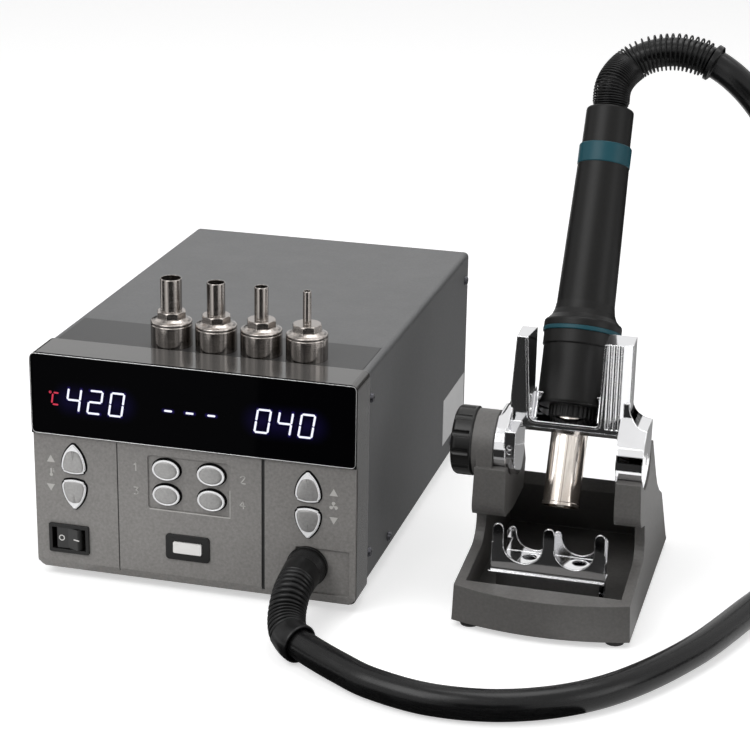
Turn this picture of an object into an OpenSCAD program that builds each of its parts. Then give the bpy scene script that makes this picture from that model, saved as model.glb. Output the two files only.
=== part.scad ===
// Hot air rework station: a control case with its blower, a hot air handle on a flexible
// hose, a weighted stand with a tilting cradle, and four push-on nozzles.
// x runs to the right, y to the back and z up; z = 0 is the table.

/* [Case] */
// Width of the case over its front moulding
case_w = 188; // [175:1:240]
// Height of the case without its feet
case_h = 129.5; // [122:0.5:170]
// Depth of the case from the front panel's face to the rear panel's face
case_d = 270; // [225:1:330]
// Depth of the front moulding
bezel_d = 25; // [20:1:32]
// Wall of the front moulding
bezel_wall = 2.6; // [2:0.1:3.2]
// Corner radius of the front moulding
bezel_r = 4; // [3:0.5:8]
// Thickness of the sheet steel
sheet_t = 1.2; // [0.8:0.1:1.6]
// Step from the moulding down to the cover on the top and both sides
cover_step = 1; // [0.5:0.1:2]
// Height of the cover's lower edge above the moulding's lower edge
cover_rise = 4.8; // [3:0.2:8]
// Height of the moulding's lower edge above the table
foot_h = 5.5; // [4:0.5:9]
// Diameter of the case's rubber feet
foot_d = 16; // [10:1:22]

/* [Front panel] */
// Thickness of the front panel
panel_t = 2.4; // [2:0.1:3]
// Height of the window's lower edge above the moulding's lower edge
window_z = 82; // [78:0.5:86]
// Distance that the window's rim stands forward of the panel
window_proud = 1.4; // [0.8:0.1:2.5]
// Width of the window's rim
window_rim = 1.6; // [1.2:0.1:3]
// Thickness of the window's glass
glass_t = 1.8; // [1.2:0.1:2.2]
// Gap round every key
key_gap = 0.45; // [0.3:0.05:0.7]
// Travel of every key
key_travel = 1.2; // [0.8:0.1:1.6]
// Distance that a key stands forward of the panel
key_proud = 1.6; // [1.3:0.1:2.4]

/* [Nozzles] */
// Diameter of a nozzle's body
nozzle_d = 23.4; // [22.4:0.2:25]
// Height of a nozzle's body up to its shoulder's rim
nozzle_body_h = 14.5; // [12:0.5:18]
// Height of a nozzle's collar above the shoulder's rim
nozzle_neck_h = 5.5; // [4.5:0.1:8]
// Overall height of a nozzle
nozzle_h = 38.6; // [34:0.2:50]
// Distance from one nozzle on the case to the next
nozzle_pitch = 26.3; // [25.5:0.1:32]

/* [Stand] */
// Width of the stand over its base
stand_w = 98; // [90:1:116]
// Gap from the case to the stand's base
stand_gap = 53.5; // [48:0.5:90]
// Height of the pivot above the table
pivot_z = 89; // [84:0.5:100]
// Distance of the pivot behind the front panel's face
pivot_y = 57; // [52:0.5:62]
// Diameter of the tilt knob
knob_d = 39; // [32:1:44]
// Thickness of the tilt knob
knob_t = 12; // [9:0.5:16]
// Lean of the handle in its cradle, back from upright
lean = 28; // [20:1:34]
// Height of the stand's rubber feet
stand_foot_h = 4; // [3:0.5:6]

/* [Handle and hose] */
// Outer diameter of the heat tube
tube_d = 20.5; // [19:0.5:22]
// Largest diameter of the handle's barrel
barrel_d = 42.5; // [39:0.5:45]
// Diameter of the grip where the hand holds it
grip_d = 31; // [27:0.5:34]
// Diameter of the tail collar
collar_d = 27; // [23:0.5:29]
// Length of the handle from the tube's lip to the tail collar's end
handle_l = 227.5; // [218:0.5:245]
// Outer diameter of the hose
hose_d = 16.5; // [14:0.5:17]
// Diameter of the spring's wire
spring_wire_d = 1.1; // [0.9:0.1:1.4]

/* [Hidden] */
$fn = 48;
eps = 0.01;
over = 1;

// Gaps between pieces that only touch, and the running gap of a pin in its bore
seat_gap = 0.1;
slip_gap = 0.3;
run_gap = 0.05;

// Case places
case_z = foot_h;
case_top = case_z + case_h;
cover_top = case_top - cover_step;
cover_low = case_z + cover_rise;
tray_z = cover_low - sheet_t;
inner_x0 = cover_step + sheet_t + seat_gap;
inner_x1 = case_w - inner_x0;
rear_y = case_d - sheet_t;
window_z0 = case_z + window_z;
glass_y = -window_proud + 0.2;
spigot_y = bezel_d + 13;
spigot_wall = 2;

// Front panel places, measured from the moulding's lower left corner
temp_key_x = 24.2;
air_key_x = case_w - 27.1;
key_mid_z = case_z + 57.8;
pick_w = 14.6;
pick_h = 17.6;
pick_gap_z = 3.4;
oval_w = 16;
oval_h = 12;
oval_x = [79, 105.2];
oval_z = [case_z + 68.4, case_z + 53.4];
field_x0 = 68;
field_x1 = 115.6;
field_z0 = case_z + 44;
field_z1 = case_z + 76;
field_deep = 0.8;
mode_x = 91;
mode_z = case_z + 22.8;
mode_w = 16.6;
mode_h = 6.6;
mode_bezel_w = 25.8;
mode_bezel_h = 15.2;
rocker_x = 20;
rocker_z = case_z + 19.4;
rocker_w = 24;
rocker_h = 17.4;
rocker_half = 9.6;
rocker_key_h = 12.6;
rocker_pivot_y = 6;
rocker_angle = 7;
port_x = case_w - 27.3;
port_z = case_z + 21.5;
port_bore = hose_d / 2 - 2;
port_proud = 2.2;
board_y = 10;
board_t = 1.6;
switch_top = board_y - 3.5;
groove_thin_x = 50;
groove_wide_x = 135;

// Blower places: the scroll stands on edge behind the hose port
scroll_r = 44;
scroll_w = 34;
scroll_y = bezel_d + 72;
scroll_z = port_z + scroll_r - 9;
scroll_wall = 2;
impeller_r = 33;
motor_r = 19;
motor_l = 34;

// Stand places
stand_x = case_w + stand_gap + stand_w / 2;
stand_z = stand_foot_h;
stand_y0 = 4;
stand_y1 = 149;
stand_wall = 5.5;
tray_floor_z = 9;
tray_y = 9.5;
tower_left = 28.4;
tower_right = 32;
front_bow = 8;
side_draft = 0.04;
knee_left = 61;
knee_right = 64;
boss_r = 18.5;
ear_r = 16.5;
ear_x0 = 29.5;
ear_t = 7;
fork_x1 = 45.5;
bolt_r = 4;
pin_r = 3;
tongue_r = 8.5;
tongue_t = 5;
tongue_x = 38.5;

// Handle places: s is the distance from the tube's lip along the handle's axis
lip_y = 53.5;
lip_z = 57;
floor_s0 = 44;
floor_s1 = 48.5;
collar_s0 = handle_l - 22;
band_s0 = collar_s0 - 11.5;
flange_s = 99;
barrel_low_s = floor_s1 + slip_gap;
nose_l = 6.7;
nose_r = 13.2;
shoulder_t = 2;
tube_seat_s = barrel_low_s + nose_l + shoulder_t;
tube_wall = 0.8;
hose_seat_s = collar_s0 + 6;
cradle_y = 58;
cradle_top = 152;
cradle_back = 72.5;
cradle_low = 99.7;
mouth_z = 104.3;
mouth_left = -23;
bolt_end_x = 27;

// Hose route, from the port on the case to the seat in the tail collar
hose_z = 8.5;
join_at = [431, 234, 58];
join_dir = [-8, 1, 60] / norm([-8, 1, 60]);
lower_route = [
    [port_x, 0, port_z], [port_x, -port_proud - 0.3, port_z],
    [port_x, -16, port_z], [port_x, -31, port_z - 3.5],
    [port_x + 2, -45, 15.8], [port_x + 8, -57, 12], [182, -67, 10.8],
    [202, -79, 9.4], [222, -89, hose_z], [254, -97, hose_z], [289, -93, hose_z],
    [322, -76, hose_z], [349, -48, hose_z], [376, -2, hose_z], [398, 54, hose_z],
    [414, 95, hose_z], [427, 135, hose_z], [435, 172, hose_z], [438, 203, 11],
    join_at - 32 * join_dir, join_at - 0.15 * join_dir
];
function along_handle(s) = [stand_x, lip_y + s * sin(lean), lip_z + s * cos(lean)];
upper_route = concat(
    [for (s = [hose_seat_s + seat_gap, handle_l, handle_l + 14]) along_handle(s)],
    [
        [295.6, 179, 278.5], [307, 184, 285.8], [322.5, 186, 288.5], [337, 186, 286.4],
        [348, 185, 281.8], [358, 183, 275.5], [367, 182, 267.5], [376, 181, 257],
        [385, 185, 242], [396, 195, 212], [408, 210, 175], [418, 225, 132],
        join_at + 36 * join_dir, join_at + 0.15 * join_dir
    ]
);
lower_ref = [1, 0, 1] / sqrt(2);
upper_ref = [0, 1, 0];
hose_sides = 12;
lower_rings = 42;
sleeve_end = 5.6;
spring_start = 1 + (slip_gap + spring_wire_d / 2) / 14;
spring_end = 6.4;
spring_turns = 40;
spring_steps = 10;
spring_sides = 5;
spring_swell = 0.8;
spring_grip = 0.02;

// Colours
moulded_grey = [0.33, 0.32, 0.31];
cover_grey = [0.27, 0.27, 0.28];
black = [0.04, 0.04, 0.045];
steel = [0.75, 0.75, 0.77];
copper_tone = [0.72, 0.66, 0.6];
board_green = [0.05, 0.3, 0.15];
teal = [0.07, 0.32, 0.38];
cream = [0.92, 0.9, 0.84];

// General functions and modules

// Points of an arc round centre c
function arc(c, r, a0, a1, n = 8) =
    [for (i = [0:n]) c + r * [cos(a0 + (a1 - a0) * i / n), sin(a0 + (a1 - a0) * i / n)]];

function unit(v) = v / norm(v);

// A smooth curve through a list of points; u counts the points
function spline(p0, p1, p2, p3, t) =
    0.5 * (2 * p1 + (p2 - p0) * t + (2 * p0 - 5 * p1 + 4 * p2 - p3) * t * t
        + (3 * p1 - p0 - 3 * p2 + p3) * t * t * t);

function route_at(pts, u) =
    let (n = len(pts) - 1, i = min(floor(u), n - 1))
    spline(pts[max(i - 1, 0)], pts[i], pts[i + 1], pts[min(i + 2, n)], u - i);

function route_dir(pts, u) =
    let (n = len(pts) - 1)
    unit(route_at(pts, min(u + 0.02, n)) - route_at(pts, max(u - 0.02, 0)));

// The point at angle a and radius r round the route
function round_route(pts, u, ref, r, a) =
    let (t = route_dir(pts, u), side = unit(cross(t, ref)), up = cross(side, t))
    route_at(pts, u) + r * (cos(a) * side + sin(a) * up);

// Faces of a closed tube of rings with the same number of sides
function tube_faces(rings, sides) = concat(
    [[for (k = [0:sides - 1]) k]],
    [for (i = [0:rings - 2], k = [0:sides - 1])
        [i * sides + k, (i + 1) * sides + k, (i + 1) * sides + (k + 1) % sides, i * sides + (k + 1) % sides]],
    [[for (k = [sides - 1:-1:0]) (rings - 1) * sides + k]]
);

// Faces of a tube whose last ring joins its first, as a wall with an inside and an outside does
function loop_faces(rings, sides) = [for (i = [0:rings - 1], k = [0:sides - 1])
    let (a = i * sides, b = (i + 1) % rings * sides, m = (k + 1) % sides) [a + k, b + k, b + m, a + m]];

// A tube along a route; stations is a list of [place on the route, radius]
module swept_tube(pts, ref, stations, sides = hose_sides) {
    polyhedron(
        points = [for (st = stations, k = [0:sides - 1])
            round_route(pts, st[0], ref, st[1], 360 * k / sides)],
        faces = tube_faces(len(stations), sides)
    );
}

// An outline drawn in x and z, from y0 back to y1
module slab_y(y0, y1) {
    translate([0, y1, 0]) rotate([90, 0, 0]) linear_extrude(y1 - y0) children();
}

// An outline drawn in y and z, from x0 to x1
module slab_x(x0, x1) {
    translate([x0, 0, 0]) rotate([90, 0, 90]) linear_extrude(x1 - x0) children();
}

module box(low, high) {
    translate(low) cube(high - low);
}

module round_rect(low, high, r) {
    translate(low + [r, 0]) square([high[0] - low[0] - 2 * r, high[1] - low[1]]);
    translate(low + [0, r]) square([high[0] - low[0], high[1] - low[1] - 2 * r]);
    for (x = [low[0] + r, high[0] - r], z = [low[1] + r, high[1] - r]) {
        translate([x, z]) circle(r);
    }
}

module rod_x(x0, x1, y, z, r) {
    translate([x0, y, z]) rotate([0, 90, 0]) cylinder(h = x1 - x0, r = r);
}

module rod_y(y0, y1, x, z, r) {
    translate([x, y1, z]) rotate([90, 0, 0]) cylinder(h = y1 - y0, r = r);
}

// Case shell

module case_outline(inset) {
    r = max(bezel_r - inset, 0.6);
    round_rect([inset, case_z + inset], [case_w - inset, case_top - inset], r);
}

module front_bezel() {
    glass_low = [window_rim, window_z0 + window_rim];
    glass_high = [case_w - window_rim, case_top - window_rim];
    spigot_inset = cover_step + sheet_t + slip_gap;
    color(black) difference() {
        union() {
            slab_y(panel_t, bezel_d) case_outline(0);
            slab_y(-window_proud, panel_t + 1) intersection() {
                case_outline(0);
                translate([0, window_z0]) square([case_w, case_h]);
            }
            slab_y(bezel_d - 1, spigot_y) intersection() {
                case_outline(spigot_inset);
                translate([0, cover_low]) square([case_w, case_h]);
            }
        }
        slab_y(panel_t + 1, spigot_y + 1) case_outline(spigot_inset + spigot_wall);
        slab_y(-window_proud - 1, panel_t + 2) intersection() {
            case_outline(bezel_wall);
            square([case_w, window_z0 - bezel_wall]);
        }
        slab_y(-window_proud - 1, glass_y + glass_t) round_rect(glass_low, glass_high, 2.4);
        for (m = digit_places()) {
            slab_y(-window_proud - 1, panel_t + 2)
                translate([m[0] - seat_gap, m[2] - seat_gap])
                    square([m[1] - m[0] + 2 * seat_gap, digit_h + 2 * seat_gap]);
        }
        for (x = [-1, case_w - 8], s = side_screw_spots()) {
            if (s[0] < spigot_y) rod_x(x, x + 9, s[0], s[1], 1.5 + run_gap);
        }
    }
}

// Left edge, right edge and lower edge of the three digit modules
digit_h = 19;
function digit_places() = [
    for (m = [[19, 56], [75, 111], [129.5, 167.5]]) [m[0], m[1], case_z + 93.5]
];

module digit_modules() {
    color(black) for (m = digit_places()) {
        box([m[0], glass_y + glass_t + seat_gap, m[2]], [m[1], board_y, m[2] + digit_h]);
    }
}

module display_window() {
    g = seat_gap;
    color(black) slab_y(glass_y, glass_y + glass_t - 0.05)
        round_rect([window_rim + g, window_z0 + window_rim + g],
            [case_w - window_rim - g, case_top - window_rim - g], 2.3);
}

// A rounded triangular key outline with its point up; grow widens it all round
function pick_outline(grow) =
    let (tip_r = 1.9, low_r = 1.6, bow = 17.5)
    let (tip = [0, pick_h - tip_r], low = [pick_w / 2 - low_r - 0.3, low_r + 1.9])
    let (chord = low - tip, mid = (tip + low) / 2, half = norm(chord) / 2)
    let (side_c = mid + unit([chord[1], -chord[0]]) * sqrt(pow(bow - 1.75, 2) - half * half))
    let (a0 = atan2(tip[1] - side_c[1], tip[0] - side_c[0]))
    let (a1 = atan2(low[1] - side_c[1], low[0] - side_c[0]))
    let (base_c = [0, bow], b = asin(low[0] / (bow - low_r)))
    let (half_side = concat(
        arc(tip, tip_r + grow, 90, a0, 4),
        arc(side_c, bow + grow, a0, a1, 8),
        arc(low, low_r + grow, a1, -90 + b, 4),
        arc(base_c, bow + grow, -90 + b, -90, 4)
    ))
    concat(half_side, [for (i = [len(half_side) - 2:-1:1]) [-half_side[i][0], half_side[i][1]]]);

// The outline at its place; up is 1 with the point up and -1 with the point down
module pick_at(x, up, grow) {
    translate([x, key_mid_z + up * pick_gap_z / 2]) mirror([0, up > 0 ? 0 : 1])
        polygon(pick_outline(grow));
}

module pick_key(x, up) {
    stem_z = key_mid_z + up * (pick_gap_z / 2 + pick_h * 0.4);
    color(steel) union() {
        slab_y(-key_proud + 0.5, panel_t + 2 * seat_gap) pick_at(x, up, 0);
        slab_y(-key_proud, -key_proud + 0.5) pick_at(x, up, -0.5);
        slab_y(panel_t + seat_gap, panel_t + 1.2) pick_at(x, up, 1.2);
        rod_y(panel_t, switch_top - key_travel - run_gap, x, stem_z, 1.6);
    }
}

module temp_up_key() pick_key(temp_key_x, 1);
module temp_down_key() pick_key(temp_key_x, -1);
module air_up_key() pick_key(air_key_x, 1);
module air_down_key() pick_key(air_key_x, -1);

function oval(w, h, n = 32) = [for (i = [0:n - 1]) [w / 2 * cos(360 * i / n), h / 2 * sin(360 * i / n)]];

module oval_at(x, z, grow) {
    translate([x, z]) polygon(oval(oval_w + 2 * grow, oval_h + 2 * grow));
}

module channel_key(x, z) {
    color(steel) union() {
        slab_y(-key_proud + 0.5, panel_t + 2 * seat_gap) oval_at(x, z, 0);
        slab_y(-key_proud, -key_proud + 0.5) oval_at(x, z, -0.5);
        slab_y(panel_t + seat_gap, panel_t + 1.2) oval_at(x, z, 1.1);
        rod_y(panel_t, switch_top - key_travel - run_gap, x, z, 1.6);
    }
}

module channel_key_1() channel_key(oval_x[0], oval_z[0]);
module channel_key_2() channel_key(oval_x[1], oval_z[0]);
module channel_key_3() channel_key(oval_x[0], oval_z[1]);
module channel_key_4() channel_key(oval_x[1], oval_z[1]);

module centred_rect(x, z, w, h, r) {
    round_rect([x - w / 2, z - h / 2], [x + w / 2, z + h / 2], r);
}

module mode_key() {
    color(cream) union() {
        slab_y(-key_proud, panel_t + 2 * seat_gap) centred_rect(mode_x, mode_z, mode_w, mode_h, 0.8);
        slab_y(panel_t + seat_gap, panel_t + 1.2)
            centred_rect(mode_x, mode_z, mode_w + 2, mode_h + 2, 0.8);
        rod_y(panel_t, switch_top - key_travel - run_gap, mode_x, mode_z, 1.6);
    }
}

module mode_key_bezel() {
    hole_w = mode_w + 2 * key_gap;
    hole_h = mode_h + 2 * key_gap;
    color(black) difference() {
        union() {
            slab_y(-0.8, 0) centred_rect(mode_x, mode_z, mode_bezel_w, mode_bezel_h, 2);
            slab_y(-eps, panel_t) centred_rect(mode_x, mode_z, hole_w + 3, hole_h + 3, 1.5);
        }
        slab_y(-over, panel_t + over) centred_rect(mode_x, mode_z, hole_w, hole_h, 1);
    }
}

module front_panel() {
    edge = 0.3;
    corner = 3.5;
    x0 = edge;
    x1 = case_w - edge;
    z0 = case_z;
    z1 = window_z0 - seat_gap;
    post_r = 3.2;
    color(moulded_grey) difference() {
        union() {
            slab_y(0, panel_t) polygon([
                [x0 + corner, z0], [x1 - corner, z0], [x1, z0 + corner],
                [x1, z1], [x0, z1], [x0, z0 + corner]
            ]);
            for (p = board_posts()) rod_y(panel_t - eps, board_y, p[0], p[1], post_r);
        }
        slab_x(-over, case_w + over)
            polygon([[-over, z0 + 5], [0, z0 + 5], [panel_t - 0.6, z0], [-over, z0 - over]]);
        box([groove_thin_x - 0.3, -over, z0], [groove_thin_x + 0.3, 0.5, z1 + over]);
        box([groove_wide_x - 0.9, -over, z0], [groove_wide_x + 0.9, 1.1, z1 + over]);
        slab_y(-over, field_deep) round_rect([field_x0, field_z0], [field_x1, field_z1], 2);
        slab_y(-over, 0.9) round_rect([port_x - 7, z0 + 5.5], [case_w - 3.6, z0 + 32.3], 1);
        for (up = [-1, 1], x = [temp_key_x, air_key_x]) {
            slab_y(-over, panel_t + over) pick_at(x, up, key_gap);
        }
        for (x = oval_x, z = oval_z) slab_y(-over, panel_t + over) oval_at(x, z, key_gap);
        slab_y(-over, panel_t + over) centred_rect(mode_x, mode_z,
            mode_w + 2 * key_gap + 3 + seat_gap, mode_h + 2 * key_gap + 3 + seat_gap, 1.5);
        slab_y(-over, panel_t + over) centred_rect(rocker_x, rocker_z,
            rocker_w - 2.6, rocker_h - 2.6, 0.6);
        rod_y(-over, panel_t + over, port_x, port_z, hose_d / 2 + 1.5 + seat_gap);
    }
}

// Places of the posts that carry the control board
function board_posts() = [
    [case_w * 0.32, case_z + 33], [case_w * 0.68, case_z + 40],
    [10.5, case_z + 40], [case_w - 10.5, case_z + 44]
];

module control_board() {
    switch_w = 6;
    color(board_green) union() {
        box([7, board_y, case_z + 36], [case_w - 7, board_y + board_t, case_top - 9]);
        box([mode_x - 34, board_y, case_z + 12], [mode_x + 40, board_y + board_t, case_z + 36 + eps]);
        for (x = [temp_key_x, air_key_x], up = [-1, 1]) {
            z = key_mid_z + up * (pick_gap_z / 2 + pick_h * 0.4);
            box([x - switch_w / 2, switch_top, z - switch_w / 2],
                [x + switch_w / 2, board_y + eps, z + switch_w / 2]);
        }
        for (x = oval_x, z = oval_z) {
            box([x - switch_w / 2, switch_top, z - switch_w / 2],
                [x + switch_w / 2, board_y + eps, z + switch_w / 2]);
        }
        box([mode_x - switch_w / 2, switch_top, mode_z - switch_w / 2],
            [mode_x + switch_w / 2, board_y + eps, mode_z + switch_w / 2]);
        for (x = [40, 92, 150]) {
            box([x, board_y + board_t - eps, case_top - 40], [x + 14, board_y + board_t + 3, case_top - 30]);
        }
    }
}

module rocker_frame() {
    wall = 1.3;
    hole_w = 2 * rocker_half + 2 * slip_gap + 0.3;
    hole_h = rocker_key_h + 2 * slip_gap;
    color(black) difference() {
        union() {
            slab_y(-1.2, 0) centred_rect(rocker_x, rocker_z, rocker_w, rocker_h, 1);
            slab_y(-eps, panel_t + 14) centred_rect(rocker_x, rocker_z,
                rocker_w - 2 * wall - 2 * seat_gap, rocker_h - 2 * wall - 2 * seat_gap, 0.6);
        }
        slab_y(-over - 1.2, panel_t + 11) centred_rect(rocker_x, rocker_z, hole_w, hole_h, 0.4);
    }
}

module power_rocker() {
    dip = rocker_half * tan(rocker_angle);
    color(black) translate([rocker_x, rocker_pivot_y, rocker_z - rocker_key_h / 2])
        rotate([0, 0, -rocker_angle]) union() {
            intersection() {
                cylinder(h = rocker_key_h, r = rocker_half + 0.1);
                linear_extrude(rocker_key_h) polygon([
                    [-rocker_half - 1, -rocker_pivot_y - dip - 0.8], [0, -rocker_pivot_y - 0.2],
                    [rocker_half + 1, -rocker_pivot_y - dip - 0.8], [rocker_half + 1, 1.5], [-rocker_half - 1, 1.5]
                ]);
            }
            cylinder(h = rocker_key_h, r = 3);
        }
}

module hose_port() {
    color(black) difference() {
        union() {
            rod_y(-port_proud, 0, port_x, port_z, hose_d / 2 + 3.4);
            rod_y(-eps, bezel_d, port_x, port_z, hose_d / 2 + 1.5);
            rod_y(panel_t + seat_gap, panel_t + 3, port_x, port_z, hose_d / 2 + 3.4);
        }
        rod_y(-3, bezel_d + over, port_x, port_z, port_bore);
        rod_y(-3, 0, port_x, port_z, hose_d / 2 + 0.2);
    }
}

// Cover, tray and rear panel

// Place of each screw on a side, as distance back and height
function side_screw_spots() = [
    [bezel_d + 6, case_z + 112], [bezel_d + 6, case_z + 20],
    [bezel_d + 50, case_z + 11], [case_d - 36, case_z + 11], [case_d - 8, case_z + 112]
];

// Place of each screw on the rear panel
function rear_screw_spots() = [
    for (x = [12, case_w / 2, case_w - 12]) [x, case_top - 9],
    for (x = [12, case_w - 12]) [x, case_z + 14]
];

module cover_outline(inset) {
    r = max(bezel_r - 1 - inset, 0.6);
    intersection() {
        round_rect([cover_step + inset, case_z], [case_w - cover_step - inset, cover_top - inset], r);
        translate([0, cover_low]) square([case_w, case_h]);
    }
}

module top_cover() {
    y0 = bezel_d + seat_gap;
    color(cover_grey) difference() {
        slab_y(y0, case_d) cover_outline(0);
        slab_y(y0 - over, case_d + over) difference() {
            translate([0, -case_z]) cover_outline_inner();
        }
        for (x = [-1, case_w - 8], s = side_screw_spots()) rod_x(x, x + 9, s[0], s[1], 1.7);
    }
}

module cover_outline_inner() {
    low = -over;
    round_rect([cover_step + sheet_t, low], [case_w - cover_step - sheet_t, cover_top - sheet_t + case_z], 1.8);
}

module top_film() {
    color([0.12, 0.12, 0.13])
        box([5, bezel_d + 0.6, cover_top], [case_w - 5, bezel_d + 42, cover_top + film_t]);
}

module side_label() {
    x = case_w - cover_step;
    color([0.8, 0.8, 0.79])
        box([x, case_d - 61, case_z + 17], [x + film_t, case_d - 3, case_z + 47.5]);
}

module pan_screw(l) {
    difference() {
        union() {
            cylinder(h = 1.7, r1 = 3, r2 = 2.2);
            translate([0, 0, -l]) cylinder(h = l + eps, r = 1.5);
        }
        for (a = [0, 90]) rotate([0, 0, a]) translate([-1.5, -0.35, 1]) cube([3, 0.7, 1]);
    }
}

module cover_screws() {
    x = case_w - cover_step;
    color(steel) union() {
        for (s = side_screw_spots()) {
            translate([x, s[0], s[1]]) rotate([0, 90, 0]) pan_screw(5);
            translate([cover_step, s[0], s[1]]) rotate([0, -90, 0]) pan_screw(5);
        }
        for (s = rear_screw_spots()) {
            translate([s[0], case_d, s[1]]) rotate([-90, 0, 0]) pan_screw(5);
        }
    }
}

module chassis_tray() {
    flange = 18;
    y0 = spigot_y + 1;
    y1 = rear_y - seat_gap;
    stud_r = 2.5;
    color(steel) difference() {
        union() {
            box([inner_x0, bezel_d + 2, tray_z], [inner_x1, y1, tray_z + sheet_t]);
            for (x = [inner_x0, inner_x1 - sheet_t]) {
                box([x, y0, tray_z], [x + sheet_t, y1, tray_z + flange]);
            }
            box([inner_x0, y1 - sheet_t, tray_z], [inner_x1, y1, tray_z + flange]);
            for (p = power_posts()) {
                translate([p[0], p[1], tray_z + eps]) cylinder(h = power_z - tray_z - eps, r = stud_r);
            }
            translate([0, 0, tray_z + eps]) blower_feet(scroll_z - scroll_r - tray_z - eps);
        }
        for (x = [-1, case_w - 12], s = side_screw_spots()) rod_x(x, x + 13, s[0], s[1], 1.7);
        for (s = rear_screw_spots()) rod_y(y1 - 9, y1 + over, s[0], s[1], 1.7);
        for (p = foot_places()) translate([p[0], p[1], tray_z - over]) cylinder(h = 4, r = 2);
        for (i = [0:9], j = [0:2]) {
            x = 26 + 9 * i;
            box([x, 60 + 16 * j, tray_z - over], [x + 3, 70 + 16 * j, tray_z + 3]);
        }
    }
}

function foot_places() = [for (x = [24, case_w - 24], y = [bezel_d + 24, case_d - 24]) [x, y]];

module station_feet() {
    color(black) for (p = foot_places()) translate([p[0], p[1], 0]) difference() {
        union() {
            cylinder(h = tray_z - eps, r1 = foot_d / 2 - 1, r2 = foot_d / 2);
            cylinder(h = tray_z + sheet_t, r = 1.9);
            translate([0, 0, tray_z + sheet_t + seat_gap]) cylinder(h = 1.4, r = 3.2);
            cylinder(h = tray_z + sheet_t + 1, r = 1.9);
        }
        translate([0, 0, -over]) cylinder(h = 3, r = 3);
    }
}

module rear_panel() {
    y = rear_y;
    color(cover_grey) difference() {
        slab_y(y, case_d) intersection() {
            cover_outline(sheet_t + seat_gap);
            translate([0, cover_low]) square([case_w, case_h]);
        }
        slab_y(y - over, case_d + over) {
            translate([inlet_x - inlet_w / 2, inlet_z - inlet_h / 2]) square([inlet_w, inlet_h]);
            translate([fuse_x, inlet_z]) circle(fuse_r);
            translate([earth_x, inlet_z]) circle(3 + run_gap);
            for (i = [0:11], j = [0:2]) translate([fan_x + 5 * i, case_z + 62 + 16 * j]) square([2.4, 12]);
            for (s = rear_screw_spots()) translate(s) circle(1.7);
        }
    }
}

// Rear fittings
inlet_x = case_w - 34;
inlet_z = case_z + 32;
inlet_w = 27.4;
inlet_h = 19.8;
fuse_x = case_w / 2 + 18;
fuse_r = 6.2;
earth_x = case_w / 2 - 20;
earth_out = 9;
fan_x = case_w / 2 - 30;

module mains_inlet() {
    g = seat_gap;
    pin = 0.9;
    color(black) difference() {
        union() {
            slab_y(case_d, case_d + 2.5) centred_rect(inlet_x, inlet_z, inlet_w + 6, inlet_h + 5, 2);
            slab_y(rear_y - 22, case_d + eps) centred_rect(inlet_x, inlet_z, inlet_w - 2 * g, inlet_h - 2 * g, 2);
        }
        slab_y(rear_y - 14, case_d + 3) centred_rect(inlet_x, inlet_z, inlet_w - 3.4, inlet_h - 3.8, 3);
    }
    color(steel) union() {
        for (p = [[-7, -2], [7, -2], [0, 2]]) {
            box([inlet_x + p[0] - pin, rear_y - 15, inlet_z + p[1] - 2],
                [inlet_x + p[0] + pin, case_d - 3.5, inlet_z + p[1] + 2]);
        }
    }
}

module fuse_holder() {
    color(black) difference() {
        union() {
            rod_y(case_d, case_d + 4, fuse_x, inlet_z, fuse_r + 2);
            rod_y(rear_y - 24, case_d + eps, fuse_x, inlet_z, fuse_r - seat_gap);
        }
        box([fuse_x - 4, case_d + 3, inlet_z - 0.6], [fuse_x + 4, case_d + 5, inlet_z + 0.6]);
    }
}

module earth_terminal() {
    color([0.78, 0.62, 0.25]) union() {
        rod_y(rear_y - 10, case_d + earth_out, earth_x, inlet_z, 3);
        rod_y(case_d, case_d + 2, earth_x, inlet_z, 5);
        rod_y(case_d + 4, case_d + earth_out - eps, earth_x, inlet_z, 4.6);
    }
}

// Power electronics and blower

power_z = tray_z + 9;
power_x0 = 12;
power_x1 = 112;
power_y0 = 118;
power_y1 = case_d - 32;
function power_posts() =
    [for (x = [power_x0 + 6, power_x1 - 6], y = [power_y0 + 6, power_y1 - 6]) [x, y]];

module power_board() {
    top = power_z + 1.6;
    color(board_green) union() {
        box([power_x0, power_y0, power_z], [power_x1, power_y1, top]);
        box([power_x0 + 10, power_y0 + 12, top - eps], [power_x0 + 48, power_y0 + 44, top + 30]);
        for (i = [0:2]) {
            translate([power_x0 + 62 + 14 * i, power_y0 + 20, top - eps]) cylinder(h = 26, r = 6);
        }
        box([power_x0 + 60, power_y0 + 62, top - eps], [power_x0 + 84, power_y0 + 78, top + 18]);
        box([power_x0 + 14, power_y1 - 30, top - eps], [power_x0 + 60, power_y1 - 16, top + 14]);
    }
}

module heat_sink() {
    top = power_z + 1.6;
    x0 = power_x0 + 12;
    y0 = power_y0 + 56;
    fins = 7;
    color([0.6, 0.6, 0.62]) union() {
        box([x0, y0, top], [x0 + 40, y0 + 3, top + 40]);
        for (i = [0:fins - 1]) {
            x = x0 + i * (40 - 1.6) / (fins - 1);
            box([x, y0 + 3 - eps, top], [x + 1.6, y0 + 20, top + 40]);
        }
    }
}

// Spiral wall of the blower, drawn round its axle in y and z
function scroll_outline(grow) =
    [for (i = [0:24])
        let (a = -90 - 360 * i / 24 * 0.94, r = scroll_r - 6 * i / 24 + grow) [r * cos(a), r * sin(a)]];

blower_x0 = port_x - scroll_w / 2;
blower_x1 = port_x + scroll_w / 2 - 3;
outlet_y = spigot_y + 2;
outlet_top = scroll_z - scroll_r + 18;

module blower_feet(h) {
    for (x = [blower_x0 + 4, blower_x1 - 9], y = [scroll_y - 16, scroll_y + 12]) {
        translate([x, y, 0]) cube([5, 6, h]);
    }
}

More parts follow.
